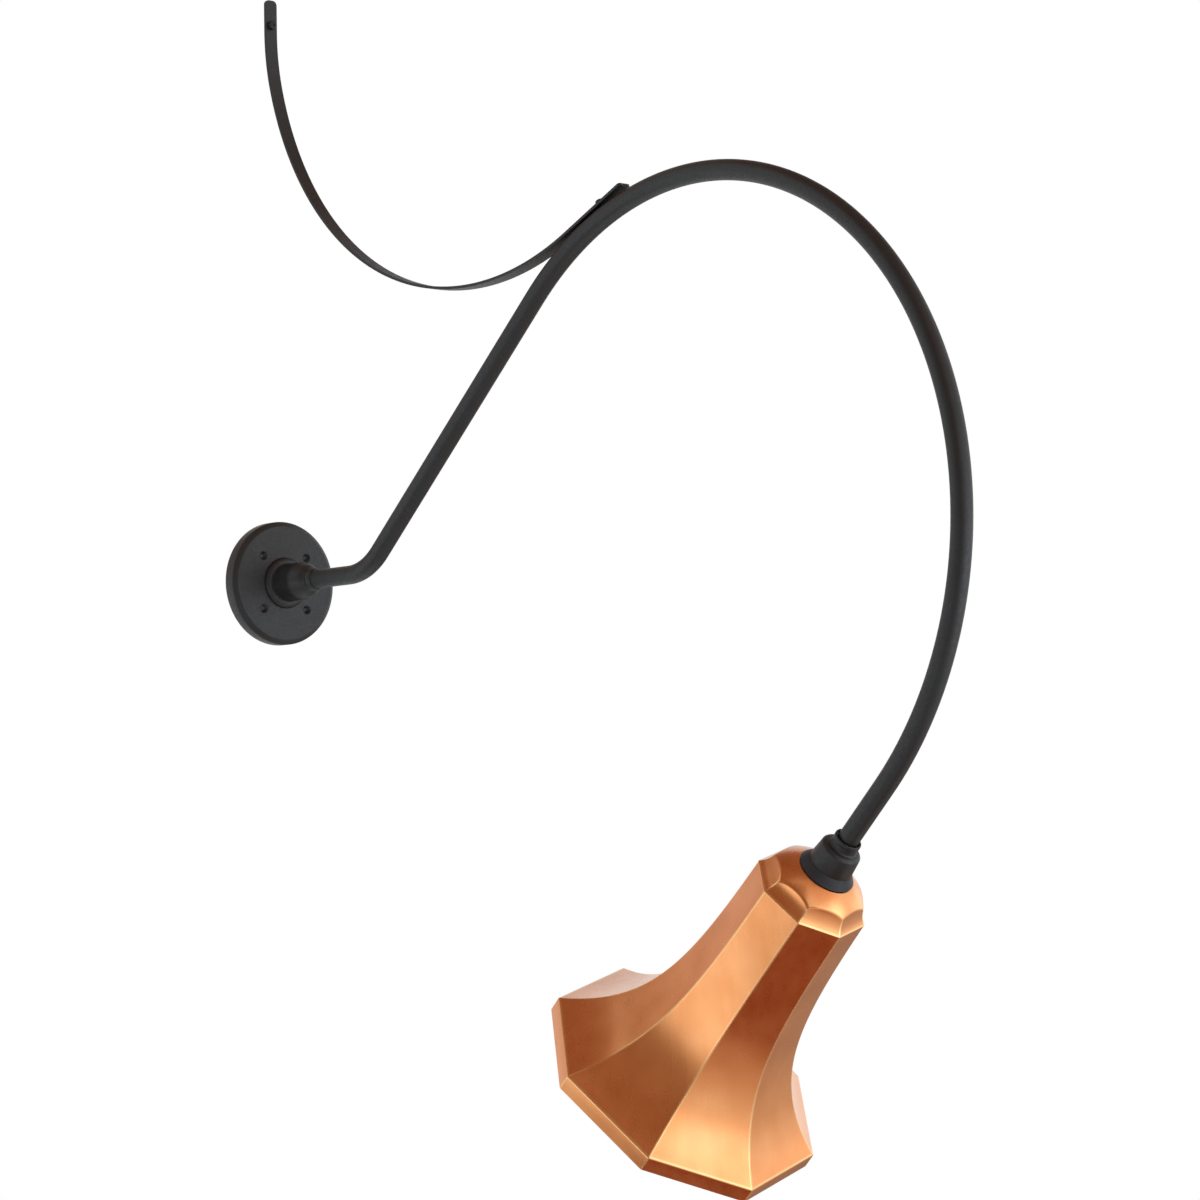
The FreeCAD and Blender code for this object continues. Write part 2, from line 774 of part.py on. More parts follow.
def screw_shell():
    """Brass cup that takes the lamp's thread, open towards the lamp."""
    shell = rod(shell_radius, shell_start, shell_end)
    shell = shell.cut(rod(shell_radius - shell_wall, shell_start + shell_wall, shell_end + overrun))
    return head_placed(shell.cut(rod(shell_hole, shell_start - overrun, shell_end)))


def centre_contact():
    """Contact disc in the pocket of the ceramic body, with a raised button."""
    start = shell_start - contact_pocket
    disc = rod(contact_radius, start, start + contact_thickness)
    button = rod(contact_button_radius, start, start + contact_button_height)
    return head_placed(disc.fuse(button).removeSplitter())


def parts():
    """Every piece of the light by its node name."""
    made = {
        "wall_plate": wall_plate(),
        "hub_set_screw": hub_set_screw(),
        "gooseneck_arm": gooseneck_arm(),
        "support_strap": support_strap(),
        "strap_arm_screw": strap_arm_screw(),
        "strap_wall_screw": strap_wall_screw(),
        "fitter_cap": fitter_cap(),
        "fitter_set_screw": fitter_set_screw(),
        "shade_gasket": shade_gasket(),
        "shade_crown": shade_crown(),
        "threaded_nipple": threaded_nipple(),
        "clamp_washer": clamp_washer(),
        "lock_nut": lock_nut(),
        "lampholder_cap": lampholder_cap(),
        "lampholder_body": lampholder_body(),
        "terminal_screws": terminal_screws(),
        "screw_shell": screw_shell(),
        "centre_contact": centre_contact(),
    }
    for index in range(sides):
        made[f"shade_panel_{index + 1}"] = shade_panel(index)
    return made


os.makedirs("parts", exist_ok=True)
for node, shape in parts().items():
    if not shape.isValid():
        raise ValueError(f"{node} is not a valid shape")
    shape.exportStep(f"parts/{node}.step")
    print(f"{node}: {len(shape.Solids)} solids, {shape.Volume:.1f} mm3")
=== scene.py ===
import logging
import math
from dataclasses import dataclass, field
from enum import Enum
from typing import Callable, Iterable

import bmesh
import bpy
from mathutils import Matrix, Vector


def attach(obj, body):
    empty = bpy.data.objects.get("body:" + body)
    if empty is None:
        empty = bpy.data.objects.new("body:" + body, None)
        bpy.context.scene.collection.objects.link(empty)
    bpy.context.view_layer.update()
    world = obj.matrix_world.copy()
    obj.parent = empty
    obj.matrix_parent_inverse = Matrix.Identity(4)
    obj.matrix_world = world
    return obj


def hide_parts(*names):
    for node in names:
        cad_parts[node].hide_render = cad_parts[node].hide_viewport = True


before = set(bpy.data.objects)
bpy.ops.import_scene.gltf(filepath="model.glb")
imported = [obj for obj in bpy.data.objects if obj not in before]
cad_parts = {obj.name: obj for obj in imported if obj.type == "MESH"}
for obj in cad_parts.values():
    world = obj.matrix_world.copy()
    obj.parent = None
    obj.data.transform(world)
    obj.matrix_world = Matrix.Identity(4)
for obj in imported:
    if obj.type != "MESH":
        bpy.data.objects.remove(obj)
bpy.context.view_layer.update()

# Barn light for a wall: cast wall plate, bent tube arm, flat bar strap and an octagonal bell shade of copper.
# Sizes are in millimetres and angles in degrees; every mesh is scaled to metres when its piece is finished.
# The wall is the plane y = 0, the light stands out towards -Y, and the origin is the centre of the plate.
# Points within TOUCH of each other are merged, and lengths within TOLERANCE of each other are taken as equal.

LOG = logging.getLogger("barn_light")
MM = 0.001
SIDES = 8
SHADE_TURN = 4.0
TOUCH = 0.002
TOLERANCE = 0.01

Colour = tuple[float, float, float]
Socket = bpy.types.NodeSocket
Value = bpy.types.NodeSocket | float | tuple[float, ...]


class Body(Enum):
    """The bodies of the frame that a piece can ride on."""

    BRACKET = "bracket"
    HEAD = "shade_head"


class Shade(Enum):
    """The finishes of the frame's record."""

    POWDER = "black_powder_coat"
    SCREW = "black_screw"
    GASKET = "black_gasket"
    COPPER = "brushed_copper"
    STEEL = "plated_steel"
    CERAMIC = "white_ceramic"
    BRASS = "brass"


# ---------------------------------------------------------------------------------------------------------------
# Places
# ---------------------------------------------------------------------------------------------------------------


@dataclass(frozen=True)
class Station:
    """A place in the plane x = 0: distance from the wall, height and heading."""

    out: float
    up: float
    heading: float

    def point(self) -> Vector:
        """The place as a point, in millimetres."""
        return Vector((0.0, -self.out, self.up))

    def matrix(self) -> Matrix:
        """The move from an axis along Z to this place and heading."""
        return Matrix.Translation(self.point()) @ Matrix.Rotation(math.radians(90 - self.heading), 4, "X")

    def beside(self, offset: float) -> "Station":
        """The place moved to the left of its heading by an offset in millimetres."""
        turn = math.radians(self.heading)
        return Station(self.out - offset * math.sin(turn), self.up + offset * math.cos(turn), self.heading)

    def ahead(self, length: float) -> "Station":
        """The place moved forward along its heading by a length in millimetres."""
        turn = math.radians(self.heading)
        return Station(self.out + length * math.cos(turn), self.up + length * math.sin(turn), self.heading)


@dataclass(frozen=True)
class Leg:
    """A straight, or a tangent arc where the turn isn't zero."""

    length: float = 0.0
    radius: float = 0.0
    turn: float = 0.0

    def centre(self, start: Station) -> Station:
        """The centre of an arc that begins at the start, on the heading of that start."""
        return start.beside(math.copysign(self.radius, self.turn))

    def end(self, start: Station) -> Station:
        """Where the leg ends.

        Args:
            start: Where it starts.

        Returns:
            The place and heading at its end.
        """
        if not self.turn:
            return start.ahead(self.length)
        centre = self.centre(start)
        return Station(centre.out, centre.up, start.heading + self.turn).beside(-math.copysign(self.radius, self.turn))


@dataclass(frozen=True)
class BentLine:
    """A line in the plane x = 0 of straights and tangent arcs."""

    start: Station
    legs: tuple[Leg, ...]

    def end(self) -> Station:
        """Follows the line from its start to its end.

        Returns:
            The place and heading at the end.
        """
        place = self.start
        for leg in self.legs:
            place = leg.end(place)
        return place


# ---------------------------------------------------------------------------------------------------------------
# Finishes
# ---------------------------------------------------------------------------------------------------------------


@dataclass(frozen=True)
class Grain:
    """Soft noise: its blobs' size, how many finer layers it has, how strong they are and its depth as bump."""

    size: float
    detail: float = 2.0
    rough: float = 0.5
    depth: float = 0.0


class Nodes:
    """Makes and joins the nodes of one tree."""

    def __init__(self, tree: bpy.types.NodeTree) -> None:
        """Takes the tree of a material or of the world and clears it."""
        self.tree = tree
        self.tree.nodes.clear()

    def feed(self, target: Socket, value: Value) -> None:
        """Gives an input its value.

        Args:
            target: The input.
            value: A socket to join to it, or the number, vector or colour to set.
        """
        if isinstance(value, bpy.types.NodeSocket):
            self.tree.links.new(value, target)
        elif target.type == "RGBA":
            target.default_value = (*value, 1.0)
        else:
            target.default_value = value

    def add(self, kind: str, values: "dict[str | int, Value] | None" = None, **settings: str) -> bpy.types.Node:
        """Adds a node.

        Args:
            kind: The node's type, without the word that all types start with.
            values: What its inputs get, by name or number.
            settings: What its own settings get.

        Returns:
            The node.
        """
        node = self.tree.nodes.new(f"ShaderNode{kind}")
        for name, setting in settings.items():
            setattr(node, name, setting)
        for name, value in (values or {}).items():
            self.feed(node.inputs[name], value)
        return node

    def spread(self, value: Socket, low: float, high: float, start: float = 0.3, end: float = 0.7) -> Socket:
        """A value spread over a range: the start becomes low and the end becomes high."""
        values = {"Value": value, "From Min": start, "From Max": end, "To Min": low, "To Max": high}
        return self.add("MapRange", values).outputs["Result"]

    def blend(self, share: Socket, first: Value, last: Value) -> Socket:
        """A colour between two colours, the share being that of the last."""
        return self.add("Mix", {0: share, 6: first, 7: last}, data_type="RGBA").outputs[2]

    def count(self, operation: str, *values: Value) -> Socket:
        """One step of arithmetic on sockets or numbers, by the name that a Math node has for it."""
        return self.add("Math", dict(enumerate(values)), operation=operation).outputs[0]

    def seen(self) -> Socket:
        """Tells what the camera, a gloss or a glass sees from what is only lit.

        Returns:
            A socket that is 1 for what they see and otherwise 0.
        """
        path = self.add("LightPath").outputs
        direct = self.count("MAXIMUM", path["Is Camera Ray"], path["Is Glossy Ray"])
        return self.count("MAXIMUM", direct, path["Is Transmission Ray"])


class Bench(Nodes):
    """Makes one material of the light."""

    def __init__(self, name: str) -> None:
        """Starts a material with one shader.

        Args:
            name: The material's name.
        """
        self.material = bpy.data.materials.new(name)
        self.material.use_nodes = True
        super().__init__(self.material.node_tree)
        self.surface = self.add("BsdfPrincipled")
        self.add("OutputMaterial", {"Surface": self.surface.outputs["BSDF"]})

    def place(self, turn: float = 0.0, scale: tuple[float, float, float] = (1.0, 1.0, 1.0)) -> Socket:
        """Object coordinates, turned about X and scaled.

        Args:
            turn: The turn about X, in degrees.
            scale: The scale on the turned axes.

        Returns:
            The socket of the coordinates.
        """
        own = self.add("TexCoord").outputs["Object"]
        values = {"Vector": own, "Rotation": (math.radians(turn), 0.0, 0.0), "Scale": scale}
        return self.add("Mapping", values).outputs["Vector"]

    def noise(self, place: Socket, grain: Grain) -> Socket:
        """Soft noise of a kind, from 0 to 1, read at a place in metres."""
        values = {"Vector": place, "Scale": 1.0 / (grain.size * MM), "Detail": grain.detail, "Roughness": grain.rough}
        return self.add("TexNoise", values).outputs["Fac"]

    def folds(self, head: Station, start: float, rings: Iterable[float]) -> Socket:
        """How far a place on the shade is from the nearest of its folds.

        Args:
            head: Where the shade's axis starts.
            start: The place along the axis where the folds between sides start, in millimetres.
            rings: The places along the axis of the folds that go round it, in millimetres.

        Returns:
            The socket of the distance, in metres.
        """
        own = self.add("TexCoord").outputs["Object"]
        values = {"Vector": own, "Location": head.point() * MM, "Rotation": (math.radians(90 - head.heading), 0.0, 0.0)}
        turned = self.add("Mapping", values, vector_type="TEXTURE").outputs["Vector"]
        x, y, along = self.add("SeparateXYZ", {0: turned}).outputs
        pitch = 2 * math.pi / SIDES
        angle = self.count("SUBTRACT", self.count("ARCTAN2", y, x), math.radians(SHADE_TURN))
        share = self.count("PINGPONG", self.count("DIVIDE", angle, pitch), 0.5)
        radius = self.count("SQRT", self.count("ADD", self.count("MULTIPLY", x, x), self.count("MULTIPLY", y, y)))
        nearest = self.count("MULTIPLY", self.count("MULTIPLY", share, pitch), radius)
        nearest = self.count("MAXIMUM", nearest, self.count("SUBTRACT", start * MM, along))
        for ring in rings:
            away = self.count("ABSOLUTE", self.count("SUBTRACT", along, ring * MM))
            nearest = self.count("MINIMUM", nearest, away)
        return nearest

    def dress(self, looks: dict[str, Value], layers: Iterable[tuple[Socket, Grain]]) -> bpy.types.Material:
        """Sets the shader's inputs and presses layers of bump into the surface.

        Args:
            looks: What the shader's inputs get.
            layers: Each layer of bump, as its noise and the noise's kind.

        Returns:
            The material.
        """
        below: dict[str, Value] = {}
        for height, grain in layers:
            values = {"Height": height, "Strength": 1.0, "Distance": grain.depth * MM}
            below = {"Normal": self.add("Bump", {**values, **below}).outputs["Normal"]}
        for name, value in {**looks, **below}.items():
            self.feed(self.surface.inputs[name], value)
        return self.material


@dataclass(frozen=True)
class PowderCoat:
    """Matt black powder coat with a fine orange-peel grain."""

    name: str
    first: Colour = (0.0076, 0.0077, 0.0079)
    last: Colour = (0.0110, 0.0111, 0.0113)
    rough: tuple[float, float] = (0.46, 0.58)
    specular: float = 0.75
    sheen: Colour = (0.87, 0.94, 0.98)
    cloud: Grain = Grain(28.0, 3.0, 0.55)
    peel: Grain = Grain(2.4, 1.5, 0.5, 0.05)
    fine: Grain = Grain(0.55, 2.0, 0.6, 0.035)

    def material(self) -> bpy.types.Material:
        """Makes the powder coat.

        Returns:
            The material.
        """
        bench = Bench(self.name)
        place = bench.place()
        cloud, peel, fine = (bench.noise(place, grain) for grain in (self.cloud, self.peel, self.fine))
        return bench.dress({
            "Base Color": bench.blend(bench.spread(cloud, 0.0, 1.0), self.first, self.last),
            "Roughness": bench.spread(peel, *self.rough),
            "Specular IOR Level": self.specular,
            "Specular Tint": self.sheen,
        }, [(peel, self.peel), (fine, self.fine)])


@dataclass(frozen=True)
class Copper:
    """Brushed copper under lacquer: its tone drifts, fine lines run along the shade, and a highlight is painted along
    its folds.
    """

    name: str
    first: Colour = (0.80, 0.315, 0.100)
    last: Colour = (0.93, 0.415, 0.158)
    # The pale tone of the highlight painted along the folds.
    fold_highlight_tone: Colour = (1.0, 0.61, 0.27)
    rough: tuple[float, float] = (0.26, 0.31)
    head: Station = Station(826.5716, -276.7494, -135.6)
    folds_start: float = 55.0
    rings: tuple[float, ...] = (65.6, 296.8)
    fold_highlight_share: float = 0.85
    fold_highlight_full: float = 0.525
    fold_highlight_reach: float = 1.5
    brush_lean: float = 1.2
    brush_stretch: float = 0.035
    coat: float = 0.5
    coat_ior: float = 1.55
    coat_rough: float = 0.26
    cloud: Grain = Grain(42.0, 1.5, 0.5, 0.03)
    streak: Grain = Grain(9.0, 1.5, 0.5)
    lines: Grain = Grain(0.35, 1.0, 0.5, 0.0004)

    def material(self) -> bpy.types.Material:
        """Makes the copper.

        Returns:
            The material.
        """
        bench = Bench(self.name)
        brushed = bench.place(-self.head.heading - self.brush_lean, (1.0, 1.0, self.brush_stretch))
        cloud = bench.noise(bench.place(), self.cloud)
        streak, lines = (bench.noise(brushed, grain) for grain in (self.streak, self.lines))
        folds = bench.folds(self.head, self.folds_start, self.rings)
        # Painted highlight: within about 0.5 mm of a fold the base colour is mixed 85 percent towards the pale tone,
        # fading out by 1.5 mm.
        fold_highlight_mask = bench.spread(folds, self.fold_highlight_share, 0.0, self.fold_highlight_full * MM, self.fold_highlight_reach * MM)
        colour = bench.blend(bench.spread(cloud, 0.0, 1.0), self.first, self.last)
        return bench.dress({
            "Base Color": bench.blend(fold_highlight_mask, colour, self.fold_highlight_tone),
            "Roughness": bench.spread(streak, *self.rough),
            "Metallic": 1.0,
            "Coat Weight": self.coat,
            "Coat IOR": self.coat_ior,
            "Coat Roughness": self.coat_rough,
        }, [(cloud, self.cloud), (lines, self.lines)])


@dataclass(frozen=True)
class Rubber:
    """Blue-black rubber with a fine dry grain."""

    name: str
    first: Colour = (0.016, 0.020, 0.025)
    last: Colour = (0.024, 0.029, 0.035)
    rough: tuple[float, float] = (0.5, 0.64)
    mottle: Grain = Grain(6.0, 3.0, 0.6)
    fine: Grain = Grain(0.5, 3.0, 0.6, 0.03)

    def material(self) -> bpy.types.Material:
        """Makes the rubber.

        Returns:
            The material.
        """
        bench = Bench(self.name)
        place = bench.place()
        mottle, fine = (bench.noise(place, grain) for grain in (self.mottle, self.fine))
        return bench.dress({
            "Base Color": bench.blend(bench.spread(mottle, 0.0, 1.0), self.first, self.last),
            "Roughness": bench.spread(mottle, *self.rough),
        }, [(fine, self.fine)])


@dataclass(frozen=True)
class Metal:
    """A plain small metal part: plated steel, black screws or brass."""

    name: str
    first: Colour
    last: Colour
    metallic: float = 1.0
    rough: tuple[float, float] = (0.22, 0.36)
    cloud: Grain = Grain(5.0, 3.0, 0.6)
    fine: Grain = Grain(0.4, 2.0, 0.6, 0.004)

    def material(self) -> bpy.types.Material:
        """Makes the metal.

        Returns:
            The material.
        """
        bench = Bench(self.name)
        place = bench.place()
        cloud, fine = (bench.noise(place, grain) for grain in (self.cloud, self.fine))
        return bench.dress({
            "Base Color": bench.blend(bench.spread(cloud, 0.0, 1.0), self.first, self.last),
            "Roughness": bench.spread(cloud, *self.rough),
            "Metallic": self.metallic,
        }, [(fine, self.fine)])


@dataclass(frozen=True)
class Glaze:
    """White glazed ceramic with a faint ripple."""

    name: str
    first: Colour = (0.74, 0.72, 0.68)
    last: Colour = (0.80, 0.785, 0.75)
    rough: tuple[float, float] = (0.16, 0.24)
    coat: float = 0.5
    coat_rough: float = 0.08
    ripple: Grain = Grain(7.0, 2.0, 0.5, 0.12)
    speck: Grain = Grain(0.9, 2.0, 0.5, 0.008)

    def material(self) -> bpy.types.Material:
        """Makes the glaze.

        Returns:
            The material.
        """
        bench = Bench(self.name)
        place = bench.place()
        ripple, speck = (bench.noise(place, grain) for grain in (self.ripple, self.speck))
        return bench.dress({
            "Base Color": bench.blend(bench.spread(ripple, 0.0, 1.0), self.first, self.last),
            "Roughness": bench.spread(speck, *self.rough),
            "Coat Weight": self.coat,
            "Coat Roughness": self.coat_rough,
        }, [(ripple, self.ripple), (speck, self.speck)])


class Finishes:
    """Each finish of the record as one material, made when it is first asked for."""

    def __init__(self) -> None:
        """Names the finish that stands for each entry of the record."""
        self.recipes = {
            Shade.POWDER: PowderCoat("powder_coat"),
            Shade.SCREW: Metal("blackened_screw", (0.022, 0.022, 0.023), (0.034, 0.034, 0.035), 0.35, (0.34, 0.46)),
            Shade.GASKET: Rubber("gasket_rubber"),
            Shade.COPPER: Copper("brushed_copper"),
            Shade.STEEL: Metal("plated_steel", (0.60, 0.59, 0.57), (0.70, 0.69, 0.67)),
            Shade.CERAMIC: Glaze("glazed_ceramic"),
            Shade.BRASS: Metal("brass", (0.76, 0.56, 0.26), (0.84, 0.64, 0.32), 1.0, (0.18, 0.30)),
        }
        self.made: dict[Shade, bpy.types.Material] = {}

    def material(self, shade: Shade) -> bpy.types.Material:
        """The material of a finish.

        Args:
            shade: The finish.

        Returns:
            Its material.
        """
        if shade not in self.made:
            self.made[shade] = self.recipes[shade].material()
        return self.made[shade]


FINISHES = Finishes()


# ---------------------------------------------------------------------------------------------------------------
# Mesh work
# ---------------------------------------------------------------------------------------------------------------


@dataclass(frozen=True)
class Corner:
    """A corner of a turned profile: its radius, its place along the axis and how far its round reaches."""

    radius: float
    along: float
    ease: float = 0.0
    steps: int = 4

    @staticmethod
    def arc(first: tuple[float, float], last: tuple[float, float], bulge: float, steps: int = 12,
            room: float = 0.0) -> "Corner":
        """The corner whose round is an arc between two points of a profile.

        Args:
            first: The arc's first point, radius and place.
            last: Its last point.
            bulge: Its rise from the chord, away from the axis on the way up it.
            steps: How many steps it has.
            room: How much of each tangent stays straight, for the rounds beside it.

        Returns:
            The corner where the arc's two tangents meet.
        """
        across, along = last[0] - first[0], last[1] - first[1]
        chord = math.hypot(across, along)
        radius = (chord ** 2 / 4 + bulge ** 2) / (2 * bulge)
        half = math.asin(chord / 2 / radius)
        reach = radius * math.tan(half)
        rise = reach * math.sin(half) / chord
        return Corner((first[0] + last[0]) / 2 + rise * along, (first[1] + last[1]) / 2 - rise * across,
                      reach - max(room, 0.01), steps)


class Workpiece:
    """A mesh in millimetres that is shaped by operators and then finished as a piece of the light."""

    def __init__(self) -> None:
        """Starts an empty mesh."""
        self.bm = bmesh.new()

    def wire(self, corners: Iterable[Corner], closed: bool = True) -> list[bmesh.types.BMVert]:
        """Draws a profile in the plane y = 0 and rounds its corners.

        Args:
            corners: The corners in order.
            closed: Whether the last corner joins the first.

        Returns:
            The profile's points.
        """
        corners = list(corners)
        before = set(self.bm.verts)
        points = [self.bm.verts.new((c.radius, 0.0, c.along)) for c in corners]
        for first, last in zip(points, points[1:] + points[:1] if closed else points[1:]):
            self.bm.edges.new((first, last))
        for corner, point in zip(corners, points):
            if corner.ease:
                bmesh.ops.bevel(self.bm, geom=[point], offset=corner.ease, offset_type="OFFSET",
                                segments=corner.steps, profile=0.5, affect="VERTICES", material=-1,
                                clamp_overlap=False)
        return [v for v in self.bm.verts if v not in before]

    def turn(self, points: Iterable[bmesh.types.BMVert], steps: int = 128) -> None:
        """Spins a profile once round the axis Z and closes it.

        Args:
            points: The profile's points.
            steps: How many steps the turn has.
        """
        points = set(points)
        edges = [e for e in self.bm.edges if set(e.verts) <= points]
        bmesh.ops.spin(self.bm, geom=[*points, *edges], cent=(0.0, 0.0, 0.0), axis=(0.0, 0.0, 1.0),
                       dvec=(0.0, 0.0, 0.0), angle=2 * math.pi, steps=steps, use_merge=True)
        self.heal()

    def heal(self) -> None:
        """Merges doubles and points every face outwards."""
        bmesh.ops.remove_doubles(self.bm, verts=self.bm.verts, dist=TOUCH)
        bmesh.ops.recalc_face_normals(self.bm, faces=self.bm.faces)

    def turned(self, corners: Iterable[Corner], steps: int = 128) -> "Workpiece":
        """Adds a closed body of revolution about the axis Z from its half section."""
        self.turn(self.wire(corners), steps)
        return self

    def face_out(self, outward: Callable[[bmesh.types.BMFace], float]) -> None:
        """Turns the faces of an open sheet over where they point inwards.

        Args:
            outward: Gives a number above 0 for a face that points outwards.
        """
        bmesh.ops.recalc_face_normals(self.bm, faces=self.bm.faces)
        if sum(outward(f) * f.calc_area() for f in self.bm.faces) < 0:
            bmesh.ops.reverse_faces(self.bm, faces=self.bm.faces)

    def sweep(self, line: BentLine, loop: list[bmesh.types.BMEdge], angle_step: float) -> None:
        """Sweeps a closed section along a bent line, leaving both ends open.

        Args:
            line: The line.
            loop: The section's edges, in the plane z = 0.
            angle_step: The largest turn of one step of an arc, in degrees.
        """
        points = list({v for e in loop for v in e.verts})
        bmesh.ops.transform(self.bm, matrix=line.start.matrix(), verts=points)
        place = line.start
        for leg in line.legs:
            end = leg.end(place)
            if leg.turn:
                steps = max(2, math.ceil(abs(leg.turn) / angle_step))
                made = bmesh.ops.spin(self.bm, geom=[*points, *loop], cent=leg.centre(place).point(),
                                      axis=(1.0, 0.0, 0.0), dvec=(0.0, 0.0, 0.0), angle=-math.radians(leg.turn),
                                      steps=steps)["geom_last"]
            else:
                made = bmesh.ops.extrude_edge_only(self.bm, edges=loop)["geom"]
                moved = [v for v in made if isinstance(v, bmesh.types.BMVert)]
                bmesh.ops.translate(self.bm, verts=moved, vec=end.point() - place.point())
            points = [v for v in made if isinstance(v, bmesh.types.BMVert)]
            loop = [e for e in made if isinstance(e, bmesh.types.BMEdge)]
            place = end

    def cut(self, *cutters: "Workpiece") -> "Workpiece":
        """Cuts other workpieces out of this one.

        Args:
            cutters: The workpieces to cut out.

        Returns:
            The workpiece itself.
        """
        holder = self.rough_object("blank")
        tools = []
        for index, cutter in enumerate(cutters):
            tool = cutter.rough_object(f"cutter_{index}")
            modifier = holder.modifiers.new(f"cut_{index}", "BOOLEAN")
            modifier.operation = "DIFFERENCE"
            modifier.solver = "EXACT"
            modifier.object = tool
            tools.append(tool)
        bpy.context.view_layer.update()
        mesh = bpy.data.meshes.new_from_object(holder.evaluated_get(bpy.context.evaluated_depsgraph_get()))
        self.bm.clear()
        self.bm.from_mesh(mesh)
        for thing in (holder, *tools):
            used = thing.data
            bpy.data.objects.remove(thing)
            bpy.data.meshes.remove(used)
        bpy.data.meshes.remove(mesh)
        return self

    def rough_object(self, name: str) -> bpy.types.Object:
        """The workpiece as a plain object, for a cut.

        Args:
            name: The object's name.

        Returns:
            The object, linked to the scene.
        """
        mesh = bpy.data.meshes.new(name)
        self.bm.to_mesh(mesh)
        holder = bpy.data.objects.new(name, mesh)
        bpy.context.scene.collection.objects.link(holder)
        return holder

    def moved(self, matrix: Matrix) -> "Workpiece":
        """Moves the whole workpiece and returns it."""
        bmesh.ops.transform(self.bm, matrix=matrix, verts=self.bm.verts)
        return self

    def finish(self, name: str, body: Body, shade: Shade, replaces: Iterable[str], matrix: Matrix,
               bevel: float = 0.0, angle: float = 30.0, segments: int = 3, sheet: float = 0.0) -> bpy.types.Object:
        """Finishes the workpiece as a piece of the light.

        Args:
            name: The piece's name.
            body: The body that it rides on.
            shade: Its finish.
            replaces: The nodes of the frame that it stands for.
            matrix: The move to its place, in millimetres.
            bevel: The width of the round on its edges, or 0 for none.
            angle: The least angle of an edge that is rounded or kept sharp, in degrees.
            segments: How many steps a round has.
            sheet: The wall that an open sheet gets on its inner side, or 0 for a closed piece.

        Returns:
            The piece.
        """
        self.moved(Matrix.Scale(MM, 4) @ matrix)
        mesh = bpy.data.meshes.new(name)
        self.bm.to_mesh(mesh)
        self.bm.free()
        mesh.shade_smooth()
        piece = bpy.data.objects.new(name, mesh)
        bpy.context.scene.collection.objects.link(piece)
        if sheet:
            wall = piece.modifiers.new("sheet", "SOLIDIFY")
            wall.thickness = sheet * MM
            wall.offset = -1.0
            wall.use_even_offset = True
        if bevel:
            round_edges = piece.modifiers.new("round_edges", "BEVEL")
            round_edges.width = bevel * MM
            round_edges.segments = segments
            round_edges.limit_method = "ANGLE"
            round_edges.angle_limit = math.radians(angle)
            round_edges.harden_normals = True
            round_edges.use_clamp_overlap = True
        else:
            mesh.set_sharp_from_angle(angle=math.radians(angle))
        mesh.materials.append(FINISHES.material(shade))
        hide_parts(*replaces)
        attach(piece, body.value)
        LOG.info("%s: %d faces on %s", name, len(mesh.polygons), body.value)
        return piece


def rod(radius: float, start: float, end: float, steps: int = 48) -> Workpiece:
    """A round rod along Z.

    Args:
        radius: Its radius.
        start: Where it starts.
        end: Where it ends.
        steps: How many sides it has.

    Returns:
        The rod.
    """
    made = Workpiece()
    bmesh.ops.create_cone(made.bm, cap_ends=True, segments=steps, radius1=radius, radius2=radius, depth=end - start,
                          matrix=Matrix.Translation((0.0, 0.0, (start + end) / 2)))
    return made


def cross_rod(radius: float, reach: float, along: float) -> Workpiece:
    """A round rod from the axis out along X at a place along the axis, for a set screw's hole."""
    return rod(radius, 0.0, reach, 40).moved(
        Matrix.Translation((0.0, 0.0, along)) @ Matrix.Rotation(math.pi / 2, 4, "Y"))


# ---------------------------------------------------------------------------------------------------------------
# Bracket
# ---------------------------------------------------------------------------------------------------------------


@dataclass
class Arm:
    """The tube arm: a stub, a bend up, a straight, the arch over and down, and its seat in the fitter."""

    tube_radius: float = 9.525
    tube_wall: float = 1.65
    start: float = 40.0
    stub_end: float = 125.8
    bend_radius: float = 76.2
    rise_angle: float = 41.9
    rise: float = 331.5
    arch_radius: float = 326.1
    arch_angle: float = 177.5
    drop: float = 59.9
    seat: float = 20.0
    sides: int = 96
    arc_step: float = 1.5

    def line(self) -> BentLine:
        """Lays out the arm.

        Returns:
            The centre line as far as the fitter's lip.
        """
        return BentLine(Station(self.start, 0.0, 0.0), (
            Leg(self.stub_end - self.start), Leg(0.0, self.bend_radius, self.rise_angle), Leg(self.rise),
            Leg(0.0, self.arch_radius, -self.arch_angle), Leg(self.drop)))

    def head(self) -> Station:
        """The end of the arm at the fitter's lip, on the shade's axis."""
        return self.line().end()

    def build(self) -> bpy.types.Object:
        """Builds the tube with both ends open.

        Returns:
            The tube.
        """
        line = self.line()
        full = BentLine(line.start, (*line.legs, Leg(self.seat)))
        work = Workpiece()
        for radius in (self.tube_radius, self.tube_radius - self.tube_wall):
            made = bmesh.ops.create_circle(work.bm, segments=self.sides, radius=radius)["verts"]
            work.sweep(full, list({e for v in made for e in v.link_edges}), self.arc_step)
        ends = [e for e in work.bm.edges if e.is_boundary]
        for place in (full.start, full.end()):
            rim = [e for e in ends if (e.verts[0].co - place.point()).length < self.tube_radius + 1.0]
            bmesh.ops.bridge_loops(work.bm, edges=rim)
        work.heal()
        return work.finish("arm_tube", Body.BRACKET, Shade.POWDER, ["gooseneck_arm"], Matrix.Identity(4), angle=40.0)


